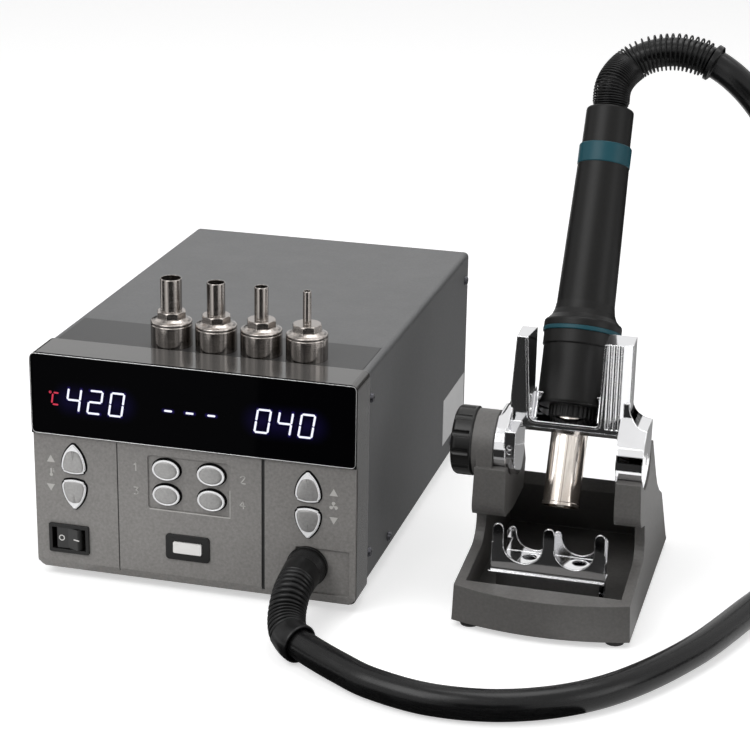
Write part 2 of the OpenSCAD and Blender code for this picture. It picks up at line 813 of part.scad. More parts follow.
module blower_housing() {
    w = scroll_wall;
    low = scroll_z - scroll_r;
    color([0.13, 0.13, 0.14]) difference() {
        union() {
            slab_x(blower_x0, blower_x1) translate([scroll_y, scroll_z]) polygon(scroll_outline(0));
            box([blower_x0, outlet_y, low], [blower_x1, scroll_y, outlet_top]);
        }
        slab_x(blower_x0 + w, blower_x1 - w) translate([scroll_y, scroll_z]) polygon(scroll_outline(-w));
        box([blower_x0 + w, outlet_y - over, low + w], [blower_x1 - w, scroll_y, outlet_top - w]);
        rod_x(blower_x0 - over, blower_x0 + w + over, scroll_y, scroll_z, 3.5);
        rod_x(blower_x1 - w - over, blower_x1 + over, scroll_y, scroll_z, 20);
    }
}

module blower_impeller() {
    x0 = blower_x0 + scroll_wall + 1.5;
    x1 = blower_x1 - scroll_wall - 1.5;
    blades = 18;
    color([0.2, 0.2, 0.22]) difference() {
        union() {
            rod_x(x0, x0 + 2, scroll_y, scroll_z, impeller_r);
            rod_x(x0, x1 - 4, scroll_y, scroll_z, 6);
            for (i = [0:blades - 1]) {
                translate([0, scroll_y, scroll_z]) rotate([360 * i / blades, 0, 0])
                    box([x0 + 1, impeller_r - 13, -0.8], [x1, impeller_r - 1, 0.8]);
            }
            difference() {
                rod_x(x1 - 2, x1, scroll_y, scroll_z, impeller_r);
                rod_x(x1 - 3, x1 + 1, scroll_y, scroll_z, impeller_r - 6);
            }
        }
        rod_x(x0 - over, x1, scroll_y, scroll_z, 2 + run_gap);
    }
}

module blower_motor() {
    x1 = blower_x0 - seat_gap;
    color(steel) union() {
        rod_x(x1 - motor_l, x1, scroll_y, scroll_z, motor_r);
        rod_x(x1 - motor_l - 4, x1, scroll_y, scroll_z, 7);
        rod_x(x1 - eps, x1 + 3.2, scroll_y, scroll_z, 3);
        rod_x(x1, blower_x1 - 8, scroll_y, scroll_z, 2);
    }
}

module air_duct() {
    low = scroll_z - scroll_r;
    y0 = bezel_d + seat_gap;
    color([0.2, 0.2, 0.21]) difference() {
        union() {
            rod_y(bezel_d - 6, y0 + 8, port_x, port_z, port_bore - seat_gap);
            box([blower_x0, y0, low], [blower_x1, outlet_y - seat_gap, outlet_top]);
        }
        rod_y(bezel_d - 7, y0 + 9, port_x, port_z, port_bore - 1.4);
        box([blower_x0 + 2, y0 + 2, low + 2], [blower_x1 - 2, outlet_y + over, outlet_top - 2]);
    }
}

// Nozzles

nozzle_y = bezel_d + nozzle_d / 2 + 0.9;
nozzle_bore_r = tube_d / 2 + 0.15;
nozzle_neck_r = 7.1;
nozzle_collar_r = 8.4;
nozzle_x0 = case_w / 2 - 24.6;
nozzle_outlets = [12, 10.2, 7.8, 4.7];
film_t = 0.15;

// One nozzle: an open body with a rounded shoulder, an octagonal collar and a straight outlet
module nozzle(i) {
    r = nozzle_d / 2;
    o = nozzle_outlets[i] / 2;
    b = nozzle_body_h;
    n = b + nozzle_neck_h;
    q = nozzle_neck_r;
    bead = 0.8;
    w = 0.8;
    color(steel) translate([nozzle_x0 + nozzle_pitch * i, nozzle_y, cover_top + film_t]) difference() {
        union() {
            rotate_extrude() polygon(concat(
                [[0, 0], [r, 0], [r, b - 2.2], [r - 0.25, b - 1.9], [r - 0.25, b - 1.6]],
                arc([r - bead, b - bead], bead, -20, 90, 5),
                [[r - 2, b + 0.5], [q + 0.9, b + 1.6], [q, b + 2], [q, n - 0.3], [o, n - 0.3]],
                [[o, nozzle_h - 0.3], [o - 0.2, nozzle_h], [0, nozzle_h]]
            ));
            translate([0, 0, b + 1]) intersection() {
                cylinder(h = n - b - 1, r = nozzle_collar_r, $fn = 8);
                rotate_extrude() polygon([
                    [0, 0], [nozzle_collar_r, 0], [nozzle_collar_r, n - b - 1.8], [nozzle_collar_r - 0.8, n - b - 1],
                    [0, n - b - 1]
                ]);
            }
        }
        rotate_extrude() polygon([
            [0, -over], [nozzle_bore_r, -over], [nozzle_bore_r, b - 2], [nozzle_bore_r - 0.8, b - 1.2], [q - w, b],
            [q - w, n - 1.5], [o - 0.5, n - 1.5], [o - 0.5, nozzle_h + over], [0, nozzle_h + over]
        ]);
    }
}

module nozzle_large() nozzle(0);
module nozzle_medium() nozzle(1);
module nozzle_small() nozzle(2);
module nozzle_fine() nozzle(3);

// Stand

// Side view of a wall and its tower, in y and z; knee is the height where the tower's front curves in
function stand_side(knee) = concat(
    [[stand_y0 - front_bow - 1, stand_z], [stand_y0 - front_bow - 1, 24.4]],
    arc([44, 41], 11, -80, 0, 6),
    [[54.5, knee - 13]],
    arc([48, knee], 11, 235, 180, 4),
    [[37, 81], [42, 81]],
    arc([pivot_y, pivot_z], ear_r + slip_gap, 207, 360, 12),
    [[pivot_y + ear_r + slip_gap, 91], [82, 91]],
    [[90, 77], [97, 65], [103, 57], [112, 49.5], [124, 43]],
    [[136, 23], [stand_y1 - 4, 8], [stand_y1, stand_z]]
);

// Front view with its sides leaning in, in x and z
function stand_front(half, top) = [
    [stand_x - half, stand_z], [stand_x + half, stand_z],
    [stand_x + half - side_draft * (top - stand_z), top],
    [stand_x - half + side_draft * (top - stand_z), top]
];

// The base's outline from above, with a bowed front, in x and y
module base_plan(half, y0, y1) {
    r = (half * half + front_bow * front_bow) / (2 * front_bow);
    intersection() {
        translate([stand_x - half, y0 - front_bow - 1]) square([2 * half, y1 - y0 + front_bow + 1]);
        union() {
            translate([stand_x, y0 - front_bow + r]) circle(r, $fn = 180);
            translate([stand_x - half, y0]) square([2 * half, y1 - y0]);
        }
    }
}

// Side view of the thick part of a tower, with the arch that its ear turns in
module tower_block(knee) {
    polygon(concat([[37, 81], [42, 81]],
        arc([pivot_y, pivot_z], ear_r + slip_gap, 207, 360, 12),
        [[pivot_y + ear_r + slip_gap, 91], [82, 91], [90, 77], [96, 66], [92, 50], [62, knee - 12]],
        arc([48, knee], 11, 235, 180, 4)));
}

module stand_base() {
    half = stand_w / 2;
    inner = half - stand_wall;
    top = 112;
    tongue_low = pivot_z - ear_r - 2;
    boss_x0 = stand_x - half + 0.5;
    boss_x1 = stand_x - ear_x0 - ear_t - slip_gap;
    color(moulded_grey) difference() {
        union() {
            difference() {
                intersection() {
                    union() {
                        slab_x(stand_x - half, stand_x) polygon(stand_side(knee_left));
                        slab_x(stand_x, stand_x + half) polygon(stand_side(knee_right));
                    }
                    slab_y(-front_bow, stand_y1 + 1) polygon(stand_front(half, top));
                    translate([0, 0, stand_z]) linear_extrude(top) base_plan(half, stand_y0, stand_y1);
                }
                intersection() {
                    slab_x(stand_x - inner, stand_x + inner) polygon([
                        [tray_y, tray_floor_z], [stand_y1 - 12, tray_floor_z],
                        [107, 46], [100, top], [tray_y - 2, top]
                    ]);
                    slab_y(0, stand_y1 + 1) polygon(stand_front(inner, top));
                }
            }
            intersection() {
                union() {
                    slab_x(stand_x - half, stand_x - tower_left) tower_block(knee_left);
                    slab_x(stand_x + tower_right, stand_x + half) tower_block(knee_right);
                }
                slab_y(0, stand_y1 + 1) polygon(stand_front(half, top));
            }
            rod_x(boss_x0, boss_x1, pivot_y, pivot_z, boss_r);
            box([boss_x0 + 3, pivot_y - boss_r, 60], [boss_x1, pivot_y + boss_r, pivot_z]);
            rod_x(stand_x + tongue_x - tongue_t / 2, stand_x + tongue_x + tongue_t / 2, pivot_y, pivot_z, tongue_r);
            box([stand_x + tongue_x - tongue_t / 2, pivot_y - 4, tongue_low],
                [stand_x + tongue_x + tongue_t / 2, pivot_y + 4, pivot_z]);
        }
        rod_x(boss_x0 - over, boss_x1 + over, pivot_y, pivot_z, bolt_r + 0.2);
        rod_x(stand_x + tower_right, stand_x + half, pivot_y, pivot_z, pin_r);
        box([stand_x - inner + 8, 30, stand_z - over], [stand_x + inner - 8, 116, stand_z + 3]);
        for (p = stand_foot_places()) translate([p[0], p[1], stand_z - over]) cylinder(h = 3, r = 2);
    }
}

function stand_foot_places() =
    [for (x = [stand_x - stand_w / 2 + 9, stand_x + stand_w / 2 - 9], y = [stand_y0 + 6.6, stand_y1 - 12]) [x, y]];

module stand_feet() {
    color(black) for (p = stand_foot_places()) translate([p[0], p[1], 0]) union() {
        cylinder(h = stand_z, r1 = 5.2, r2 = 6.5);
        cylinder(h = stand_z + 1.8, r = 1.9);
    }
}

module base_weight() {
    inner = stand_w / 2 - stand_wall - 8.5;
    color(steel) box([stand_x - inner, 30.5, stand_z + 0.2], [stand_x + inner, 115.5, stand_z + 2.9]);
}

// Folded steel rack with a row of round-bottomed notches at the front and at the back
module nozzle_rack() {
    pitch = 28;
    t = 1.2;
    finger = 6;
    half = pitch + finger / 2 + 0.4;
    base_z = 28.2;
    y0 = 20;
    y1 = 50;
    notch_r = (pitch - finger) / 2;
    color(steel) difference() {
        union() {
            slab_y(y0, y0 + t) rack_plate(base_z, 57, pitch, finger, notch_r, 45.8, half);
            slab_y(y1 - t, y1) rack_plate(base_z, 43.5, pitch - 2.4, finger - 1, notch_r - 0.7, 41, half - 3);
            box([stand_x - half, y0, base_z], [stand_x + half, y0 + 12, base_z + t]);
            box([stand_x - half + 3, y0 + 11, base_z], [stand_x + half - 3, y1, base_z + t]);
            box([stand_x - half - 1.2, y0 - 1.6, base_z], [stand_x + half, y0 + t, base_z + t]);
            for (y = [y0 + 1.5, y1 - 1.5 - t]) {
                box([stand_x - half + 3, y, tray_floor_z], [stand_x + half - 3, y + t, base_z + t / 2]);
            }
            box([stand_x - half + 3, y0 + 1.5, tray_floor_z], [stand_x + half - 3, y1 - 1.5, tray_floor_z + t]);
        }
        for (x = [-pitch / 2, pitch / 2]) {
            translate([stand_x + x, y0 + 9, base_z - over]) cylinder(h = 4, r = 4);
            translate([stand_x + x, y1 - 8, base_z - over]) cylinder(h = 4, r = 4);
        }
    }
}

module rack_plate(low, high, pitch, finger, r, notch_z, half) {
    f = finger / 2;
    difference() {
        union() {
            translate([stand_x - half, low]) square([2 * half, notch_z - low]);
            for (i = [-1:1]) {
                translate([stand_x + pitch * i - f, low]) square([finger, high - low - f]);
                translate([stand_x + pitch * i, high - f]) circle(f);
            }
        }
        for (x = [-pitch / 2, pitch / 2]) translate([stand_x + x, notch_z]) circle(r);
    }
}

// The handle's own frame: z runs along its axis from the tube's lip
module on_handle() {
    translate([stand_x, lip_y, lip_z]) rotate([-lean, 0, 0]) children();
}

// Side view of the cradle's body, in y and z
module cradle_side() {
    polygon([
        [cradle_y, cradle_low + 0.8], [cradle_y + 3, cradle_low - 2.4], [cradle_back, cradle_low - 5.4],
        [cradle_back, cradle_top + 1.3], [cradle_y, cradle_top]
    ]);
}

// Front view of the cradle's body, in x and z, with a rounded lower left corner
module cradle_front() {
    polygon(concat(
        [[stand_x + 30, cradle_low - 14], [stand_x + 31, 100], [stand_x + 34.6, 117]],
        [[stand_x + 34.6, cradle_top + 3], [stand_x - 28.9, cradle_top + 3], [stand_x - 31.2, 117]],
        arc([stand_x - 22, 109], 9, 190, 265, 6),
        [[stand_x - 20, cradle_low - 14]]
    ));
}

// Plan of the cradle's body, in x and y, with its right front corner cut off
module cradle_plan() {
    polygon([
        [stand_x - 40, cradle_y], [stand_x + 29.4, cradle_y], [stand_x + 34, cradle_y + 2.8],
        [stand_x + 50, cradle_y + 18], [stand_x + 50, 120], [stand_x - 40, 120]
    ]);
}

// Arm from the cradle's body down to its ear, in y and z
module arm_side() {
    polygon(concat(
        arc([pivot_y, pivot_z], ear_r, 128, 360, 16),
        [[pivot_y + ear_r, 92], [cradle_back + 2, 104], [cradle_back, 119], [cradle_y + 1, 119], [cradle_y + 1, 111]]
    ));
}

// Half-rounded flare of an arm, in x and z; side is 1 on the right and -1 on the left
module arm_front(side, x_body, x_ear, x_in) {
    top = pivot_z + ear_r + 1;
    polygon(concat(
        [[stand_x + side * (x_in - 5), 119.5], [stand_x + side * x_body, 119.5], [stand_x + side * x_body, 117]],
        [for (i = [1:6]) [
            stand_x + side * (x_body + (x_ear - x_body) * (1 - cos(15 * i))),
            117 - (117 - top) * sin(15 * i)
        ]],
        [
            [stand_x + side * x_ear, 60], [stand_x + side * x_in, 60],
            [stand_x + side * x_in, 99], [stand_x + side * (x_in - 5), 102]
        ]
    ));
}

// Inner edge of the cradle's U in x and z, grown by g into its walls; the top is open
module cradle_mouth(g, left_top) {
    polygon(concat(
        [[stand_x + 19.4 + g, cradle_top + 4], [stand_x + left_top - g, cradle_top + 4]],
        arc([stand_x - 17.3, mouth_z + 3], 3 + g, 180, 270, 5),
        arc([stand_x + 16, mouth_z + 1.8], 1.8 + g, 270, 358, 3)
    ));
}

module cradle() {
    bore_r = barrel_d / 2 + slip_gap;
    cup_wall = 3.5;
    left_out = ear_x0 + ear_t;
    left_in = 24.5;
    right_in = tower_right - 1.2;
    clear_x = tongue_t / 2 + slip_gap;
    fork_r = tongue_r + slip_gap;
    bead_w = 1.5;
    bead_proud = 0.5;
    flute_pitch = 2.7;
    color(steel) difference() {
        union() {
            difference() {
                union() {
                    difference() {
                        intersection() {
                            slab_x(stand_x - 60, stand_x + 60) cradle_side();
                            slab_y(0, 200) cradle_front();
                            translate([0, 0, 60]) linear_extrude(120) cradle_plan();
                        }
                        slab_y(0, cradle_y + 60) cradle_mouth(0, -20.3);
                        intersection() {
                            slab_y(cradle_y - 1, cradle_back + 1) cradle_mouth(0, mouth_left);
                            translate([0, 0, mouth_z]) linear_extrude(60) polygon([
                                [stand_x - 10, cradle_y - 1], [stand_x + mouth_left - 0.2, cradle_y - 1],
                                [stand_x - 20.3, cradle_back + 1], [stand_x - 10, cradle_back + 1]
                            ]);
                        }
                    }
                    on_handle() translate([0, 0, floor_s0 + 2])
                        cylinder(h = floor_s1 + 10 - floor_s0, r = bore_r + cup_wall);
                    intersection() {
                        slab_x(stand_x - left_out, stand_x - 15) arm_side();
                        slab_y(0, 200) arm_front(-1, 31.2, left_out, left_in);
                    }
                    intersection() {
                        slab_x(stand_x + 15, stand_x + fork_x1) arm_side();
                        slab_y(0, 200) arm_front(1, 34.3, fork_x1, right_in);
                    }
                }
                box([stand_x - 17, 0, mouth_z], [stand_x + 17, cradle_y + 10, cradle_top]);
                box([stand_x - 30, 0, 60], [stand_x + 30, cradle_y, 170]);
                slab_x(stand_x - 30, stand_x + 30) polygon([
                    [cradle_y - 1, cradle_low + 1.6], [cradle_y + 3, cradle_low - 2.6],
                    [cradle_y + 60, cradle_low - 24.5], [cradle_y + 60, 50], [cradle_y - 1, 50]
                ]);
            }
            slab_y(cradle_y - bead_proud, cradle_y + 1) intersection() {
                difference() {
                    cradle_mouth(bead_w, mouth_left);
                    cradle_mouth(0, mouth_left);
                }
                cradle_front();
                translate([stand_x - 40, 60]) square([80, cradle_top - 60]);
            }
            slab_x(stand_x - 30.8, stand_x - left_in) translate([pivot_y, pivot_z])
                polygon([
                    [-16.2, 2], [-16, -2], [-13, -9], [-7, -14.5], [0, -16.2], [6, -15],
                    [12, -8], [12, 12], [1, 14], [-15, 13]
                ]);
        }
        for (i = [0:2]) translate([stand_x + 22.4 + flute_pitch * i, cradle_y - 1.1, mouth_z - 1])
            cylinder(h = 60, r = 1.5);
        on_handle() {
            translate([0, 0, floor_s1]) cylinder(h = 90, r = bore_r);
            cylinder(h = floor_s1 + over, r = tube_d / 2 + 1);
        }
        rod_x(stand_x - left_out - over, stand_x - bolt_end_x, pivot_y, pivot_z, bolt_r);
        rod_x(stand_x + right_in - over, stand_x + fork_x1 + over, pivot_y, pivot_z, pin_r + run_gap);
        rod_x(stand_x + tongue_x - clear_x, stand_x + tongue_x + clear_x, pivot_y, pivot_z, fork_r);
        slab_x(stand_x + tongue_x - clear_x, stand_x + tongue_x + clear_x) translate([pivot_y, pivot_z])
            polygon([[0, 4], [26 * cos(232), 26 * sin(232)], [26 * cos(296), 26 * sin(296)]]);
        for (z = [pivot_z + 1.4, pivot_z + 4.2]) rod_y(30, pivot_y - 10, stand_x - left_in - 3.2, z, 1.1);
    }
}

module clamp_bolt() {
    x0 = stand_x - stand_w / 2 + 0.5 - knob_t + 2;
    color(steel) rod_x(x0, stand_x - bolt_end_x, pivot_y, pivot_z, bolt_r);
}

module pivot_pin() {
    color(steel) rod_x(stand_x + tower_right + 1, stand_x + fork_x1 - 1, pivot_y, pivot_z, pin_r);
}

module tilt_knob() {
    x1 = stand_x - stand_w / 2 + 0.5 - seat_gap;
    r = knob_d / 2;
    lobes = 12;
    color(black) difference() {
        translate([x1, pivot_y, pivot_z]) rotate([0, -90, 0]) rotate_extrude() polygon(concat(
            [[bolt_r + run_gap, 0], [r - 0.8, 0], [r, 0.8]],
            arc([r - 3, knob_t - 3], 3, 0, 90, 4),
            [[8, knob_t], [8, knob_t - 1], [bolt_r + run_gap, knob_t - 1]]
        ));
        for (i = [0:lobes - 1]) {
            a = 360 * i / lobes;
            rod_x(x1 - knob_t - over, x1 - 1.6, pivot_y + (r + 1.2) * cos(a), pivot_z + (r + 1.2) * sin(a), 2.4);
        }
    }
}

// Handle, turned round its own axis

module heat_tube() {
    r = tube_d / 2;
    w = tube_wall;
    color(copper_tone) on_handle() rotate_extrude() polygon([
        [r - w, 0], [r + 0.4, 0], [r + 0.4, 1.6], [r, 2], [r, tube_seat_s], [r + 3.5, tube_seat_s],
        [r + 3.5, tube_seat_s + 1.2], [r - w, tube_seat_s + 1.2]
    ]);
}

module heater_sleeve() {
    r = tube_d / 2 - tube_wall - seat_gap;
    color([0.7, 0.68, 0.6]) on_handle() rotate_extrude() polygon([
        [r - 0.5, 4], [r, 4], [r, 76], [r - 0.5, 76]
    ]);
}

module heater_core() {
    r = tube_d / 2 - tube_wall - 3.2;
    disc_r = inner_barrel_r - seat_gap;
    color(cream) on_handle() union() {
        rotate_extrude() polygon([[0, 6], [r, 6], [r, 76 + eps], [0, 76 + eps]]);
        difference() {
            translate([0, 0, 76.2]) cylinder(h = 5, r = disc_r);
            translate([0, r + 1.2, 70]) cylinder(h = 20, r = 0.8 + run_gap);
        }
        cylinder(h = 76.3, r = 2);
    }
}

module sensor_lead() {
    r = tube_d / 2 - tube_wall - 3.2;
    color(steel) on_handle() translate([0, r + 1.2, 5]) cylinder(h = 79, r = 0.8);
}

inner_barrel_r = barrel_d / 2 - 3;

module handle_barrel() {
    r = barrel_d / 2;
    low = barrel_low_s;
    step = low + nose_l;
    top = flange_s - 2.5;
    bore = tube_d / 2 + seat_gap;
    flutes = 28;
    color(black) on_handle() difference() {
        rotate_extrude() polygon(concat(
            [[bore, low], [nose_r - 0.6, low], [nose_r, low + 0.6], [nose_r, step]],
            arc([r - 2.6, step + 1.6], 1.6, -90, 0, 4),
            [[r - 0.7, 88.6], [r, 89.4], [r, top]],
            [[inner_barrel_r, top], [inner_barrel_r, tube_seat_s], [bore, tube_seat_s]]
        ));
        for (i = [0:flutes - 1]) {
            rotate([0, 0, 360 * i / flutes]) translate([nose_r + 0.5, 0, low - over])
                cylinder(h = nose_l + over - 0.3, r = 1.1);
        }
    }
}

module flange_ring() {
    r = barrel_d / 2 + 0.75;
    color(teal) on_handle() rotate_extrude() polygon([
        [inner_barrel_r, flange_s - 2.5], [r - 0.3, flange_s - 2.5], [r, flange_s - 2.2],
        [r, flange_s - 0.3], [r - 0.3, flange_s], [inner_barrel_r, flange_s]
    ]);
}

module handle_grip() {
    r = barrel_d / 2 + 0.6;
    g = grip_d / 2;
    s1 = flange_s + 5;
    s2 = s1 + 10;
    wall = 2.4;
    color(black) on_handle() rotate_extrude() polygon(concat(
        [[inner_barrel_r, flange_s], [r, flange_s], [r, flange_s + 2.6]],
        arc([r - 2, flange_s + 3], 2, 0, 70, 3),
        [[g + 2.8, s1 + 2.2], [g + 1.5, s1 + 5.5], [g + 0.8, s2], [g, s2 + 40], [g - 0.9, band_s0]],
        [
            [g - 0.9 - wall, band_s0], [g - wall, s2 + 40], [g - wall + 0.8, s2],
            [g, s1 + 3], [inner_barrel_r, flange_s + 3]
        ]
    ));
}

module grip_band() {
    r = grip_d / 2 - 0.6;
    color(teal) on_handle() rotate_extrude() polygon([
        [r - 3, band_s0], [r - 0.3, band_s0], [r, band_s0 + 0.4],
        [r, collar_s0 - 0.4], [r - 0.3, collar_s0], [r - 3, collar_s0]
    ]);
}

module tail_collar() {
    r = collar_d / 2;
    hose_r = hose_d / 2 + seat_gap;
    color(black) on_handle() rotate_extrude() polygon(concat(
        [[4, collar_s0], [r + 0.2, collar_s0]],
        arc([r - 1.6, handle_l - 1.6], 1.6, 0, 90, 4),
        [[hose_r, handle_l], [hose_r, hose_seat_s], [4, hose_seat_s]]
    ));
}

// Hose, its spring and its ribbed sleeve

// Stations evenly spread from one place on a route to another, at one radius
function even_stations(u0, u1, rings, r) = [for (i = [0:rings - 1]) [u0 + (u1 - u0) * i / (rings - 1), r]];

module hose_lower() {
    color(black) swept_tube(lower_route, lower_ref,
        even_stations(0, len(lower_route) - 1, lower_rings, hose_d / 2));
}

// The upper length of the hose, with the clip behind its spring
module hose_upper() {
    clip_u = spring_end + 0.06;
    clip_r = hose_d / 2 + 2.4;
    color(black) swept_tube(upper_route, upper_ref,
        concat(even_stations(0, clip_u, 24, hose_d / 2),
            [[clip_u + 0.01, clip_r - 0.4], [clip_u + 0.04, clip_r]],
            [[clip_u + 0.38, clip_r], [clip_u + 0.42, clip_r - 0.5]],
            even_stations(clip_u + 0.43, len(upper_route) - 1, 15, hose_d / 2)));
}

// Radius of the ribbed sleeve at a share f of its length
function sleeve_radius(f, i) =
    let (core = hose_d / 2)
    f < 0.3 ? core + 2.9 - 4 * f : f > 0.86 ? core + 2.2 : core + (i % 2 == 0 ? 1.2 : 1.9);

module hose_sleeve() {
    u0 = 1;
    u1 = sleeve_end;
    rings = 42;
    inner_r = hose_d / 2 + 0.4;
    stations = concat(
        [for (i = [0:rings - 1]) let (f = i / (rings - 1)) [u0 + (u1 - u0) * f, sleeve_radius(f, i)]],
        [for (i = [rings - 1:-1:0]) [u0 + (u1 - u0) * i / (rings - 1), inner_r]]
    );
    color(black) polyhedron(
        points = [for (st = stations, k = [0:hose_sides - 1])
            round_route(lower_route, st[0], lower_ref, st[1], 360 * k / hose_sides)],
        faces = loop_faces(len(stations), hose_sides)
    );
}

// Wire of the spring: k counts its steps along the hose and j the sides of the wire; the end turns
// grip the hose and the middle stands clear of it
function spring_point(k, j) =
    let (n = spring_turns * spring_steps, f = k / n, u = spring_start + (spring_end - spring_start) * f)
    let (a = 360 * k / spring_steps, b = 360 * j / spring_sides, w = spring_wire_d / 2)
    let (coil_r = hose_d / 2 + w + spring_swell * sqrt(sin(180 * f)) - spring_grip)
    round_route(upper_route, u, upper_ref, coil_r + w * cos(b), a) + w * sin(b) * route_dir(upper_route, u);

module hose_spring() {
    rings = spring_turns * spring_steps + 1;
    color(black) polyhedron(
        points = [for (k = [0:rings - 1], j = [0:spring_sides - 1]) spring_point(k, j)],
        faces = tube_faces(rings, spring_sides)
    );
}

// The frame's origin is on the table under the middle of the case and the stand
mid_x = (stand_x + stand_w / 2) / 2;
mid_y = (case_d + earth_out - port_proud) / 2;
module placed() translate([-mid_x, -mid_y, 0]) children();

placed() front_bezel();
placed() front_panel();
placed() display_window();
placed() digit_modules();
placed() control_board();
placed() temp_up_key();
placed() temp_down_key();
placed() air_up_key();
placed() air_down_key();
placed() channel_key_1();
placed() channel_key_2();
placed() channel_key_3();
placed() channel_key_4();
placed() mode_key();
placed() mode_key_bezel();
placed() power_rocker();
placed() rocker_frame();
placed() hose_port();
placed() top_cover();
placed() top_film();
placed() side_label();
placed() cover_screws();
placed() chassis_tray();
placed() station_feet();
placed() rear_panel();
placed() mains_inlet();
placed() fuse_holder();
placed() earth_terminal();
placed() power_board();
placed() heat_sink();
placed() blower_housing();
placed() blower_impeller();
placed() blower_motor();
placed() air_duct();
placed() nozzle_large();
placed() nozzle_medium();
placed() nozzle_small();
placed() nozzle_fine();
placed() stand_base();
placed() stand_feet();
placed() base_weight();
placed() nozzle_rack();
placed() cradle();
placed() clamp_bolt();
placed() pivot_pin();
placed() tilt_knob();
placed() heat_tube();
placed() heater_core();
placed() heater_sleeve();
placed() sensor_lead();
placed() handle_barrel();
placed() flange_ring();
placed() handle_grip();
placed() grip_band();
placed() tail_collar();
placed() hose_spring();
placed() hose_sleeve();
placed() hose_lower();
placed() hose_upper();
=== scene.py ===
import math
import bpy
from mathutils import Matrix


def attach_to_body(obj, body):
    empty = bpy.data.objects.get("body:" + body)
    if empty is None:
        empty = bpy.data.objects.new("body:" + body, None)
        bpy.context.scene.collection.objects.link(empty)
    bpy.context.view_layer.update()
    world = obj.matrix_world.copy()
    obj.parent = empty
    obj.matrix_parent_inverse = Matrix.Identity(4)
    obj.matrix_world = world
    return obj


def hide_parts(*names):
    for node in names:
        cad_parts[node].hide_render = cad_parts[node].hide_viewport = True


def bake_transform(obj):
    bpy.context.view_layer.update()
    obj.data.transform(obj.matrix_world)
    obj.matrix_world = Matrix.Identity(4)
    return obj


bl_info = {
    "name": "Hot air rework station looks",
    "version": (1, 0, 0),
    "blender": (4, 5, 0),
    "location": "3D View > Sidebar > Rework Station",
    "description": "Builds the finishes, hose, display and stage of a hot air rework station",
    "category": "Object",
}

import bpy
import numpy as np
from mathutils import Matrix, Vector

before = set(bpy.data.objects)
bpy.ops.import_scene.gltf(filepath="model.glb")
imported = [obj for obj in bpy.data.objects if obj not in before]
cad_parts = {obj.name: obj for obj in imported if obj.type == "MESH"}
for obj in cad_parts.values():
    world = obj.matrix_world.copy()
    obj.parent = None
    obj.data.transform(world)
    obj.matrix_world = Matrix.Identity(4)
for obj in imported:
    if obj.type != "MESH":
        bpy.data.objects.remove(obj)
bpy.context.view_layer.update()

# Places are written in the source's millimetres: x from the case's left side, y back from the
# front panel's face and z up from the table. The frame's origin is under the middle of the box.
MID_X = 169.75
MID_Y = 138.4
MM = 1000.0
CASE_W = 188.0
CASE_Z = 5.5
CASE_TOP = 135.0
WINDOW_Z0 = 87.5
GLASS_Y = -1.2
FRAME_FRONT_Y = -0.15
STAND_X = 290.5
LEAN = math.radians(28)
LIP_Y = 53.5
LIP_Z = 57.0
HANDLE_L = 227.5

# Keys: the triangular ones stand in pairs, tip away from tip, and the oval ones in a square
KEY_FACE_Y = -1.6
TEMP_KEY_X = 24.2
AIR_KEY_X = CASE_W - 27.1
KEY_MID_Z = CASE_Z + 57.8
PICK_W = 14.6
PICK_H = 17.6
PICK_GAP = 3.4
FIELD_DEEP = 0.8
OVAL_W = 16.0
OVAL_H = 12.0
OVAL_X = (79.0, 105.2)
OVAL_Z = (CASE_Z + 68.4, CASE_Z + 53.4)
ROCKER_X = 20.0
ROCKER_Z = CASE_Z + 19.4
ROCKER_HALF = 9.6
ROCKER_PIVOT_Y = 6.0
ROCKER_ANGLE = math.radians(7)

# The hose in two lengths, which meet behind the stand
PORT_X = CASE_W - 27.3
PORT_Z = CASE_Z + 21.5
HOSE_Z = 8.5
JOIN_AT = np.array([431.0, 234.0, 58.0])
JOIN_DIR = np.array([-8.0, 1.0, 60.0]) / np.linalg.norm([-8.0, 1.0, 60.0])
LOWER_BENDS_FROM = [427, 135, HOSE_Z]
UPPER_BENDS_FROM = [418, 225, 132]
UPPER_BENDS_TO = [358, 183, 275.5]


def along_handle(s):
    """Point on the handle's axis, s mm from the heat tube's lip."""
    return [STAND_X, LIP_Y + s * math.sin(LEAN), LIP_Z + s * math.cos(LEAN)]


LOWER_ROUTE = np.array([
    [PORT_X, 0, PORT_Z], [PORT_X, -2.5, PORT_Z], [PORT_X, -16, PORT_Z],
    [PORT_X, -31, PORT_Z - 3.5], [PORT_X + 2, -45, 15.8], [PORT_X + 8, -57, 12],
    [182, -67, 10.8], [202, -79, 9.4], [222, -89, HOSE_Z], [254, -97, HOSE_Z],
    [289, -93, HOSE_Z], [322, -76, HOSE_Z], [349, -48, HOSE_Z], [376, -2, HOSE_Z],
    [398, 54, HOSE_Z], [414, 95, HOSE_Z], LOWER_BENDS_FROM, [435, 172, HOSE_Z], [438, 203, 11],
    list(JOIN_AT - 32 * JOIN_DIR), list(JOIN_AT - 0.15 * JOIN_DIR),
])
UPPER_ROUTE = np.array([
    along_handle(HANDLE_L - 15.9), along_handle(HANDLE_L), along_handle(HANDLE_L + 14),
    [295.6, 179, 278.5], [307, 184, 285.8], [322.5, 186, 288.5], [337, 186, 286.4],
    [348, 185, 281.8], UPPER_BENDS_TO, [367, 182, 267.5], [376, 181, 257],
    [385, 185, 242], [396, 195, 212], [408, 210, 175], UPPER_BENDS_FROM,
    list(JOIN_AT + 36 * JOIN_DIR), list(JOIN_AT + 0.15 * JOIN_DIR),
])
LOWER_REF = np.array([1.0, 0.0, 1.0]) / math.sqrt(2)
UPPER_REF = np.array([0.0, 1.0, 0.0])


# Geometry worked out as whole arrays

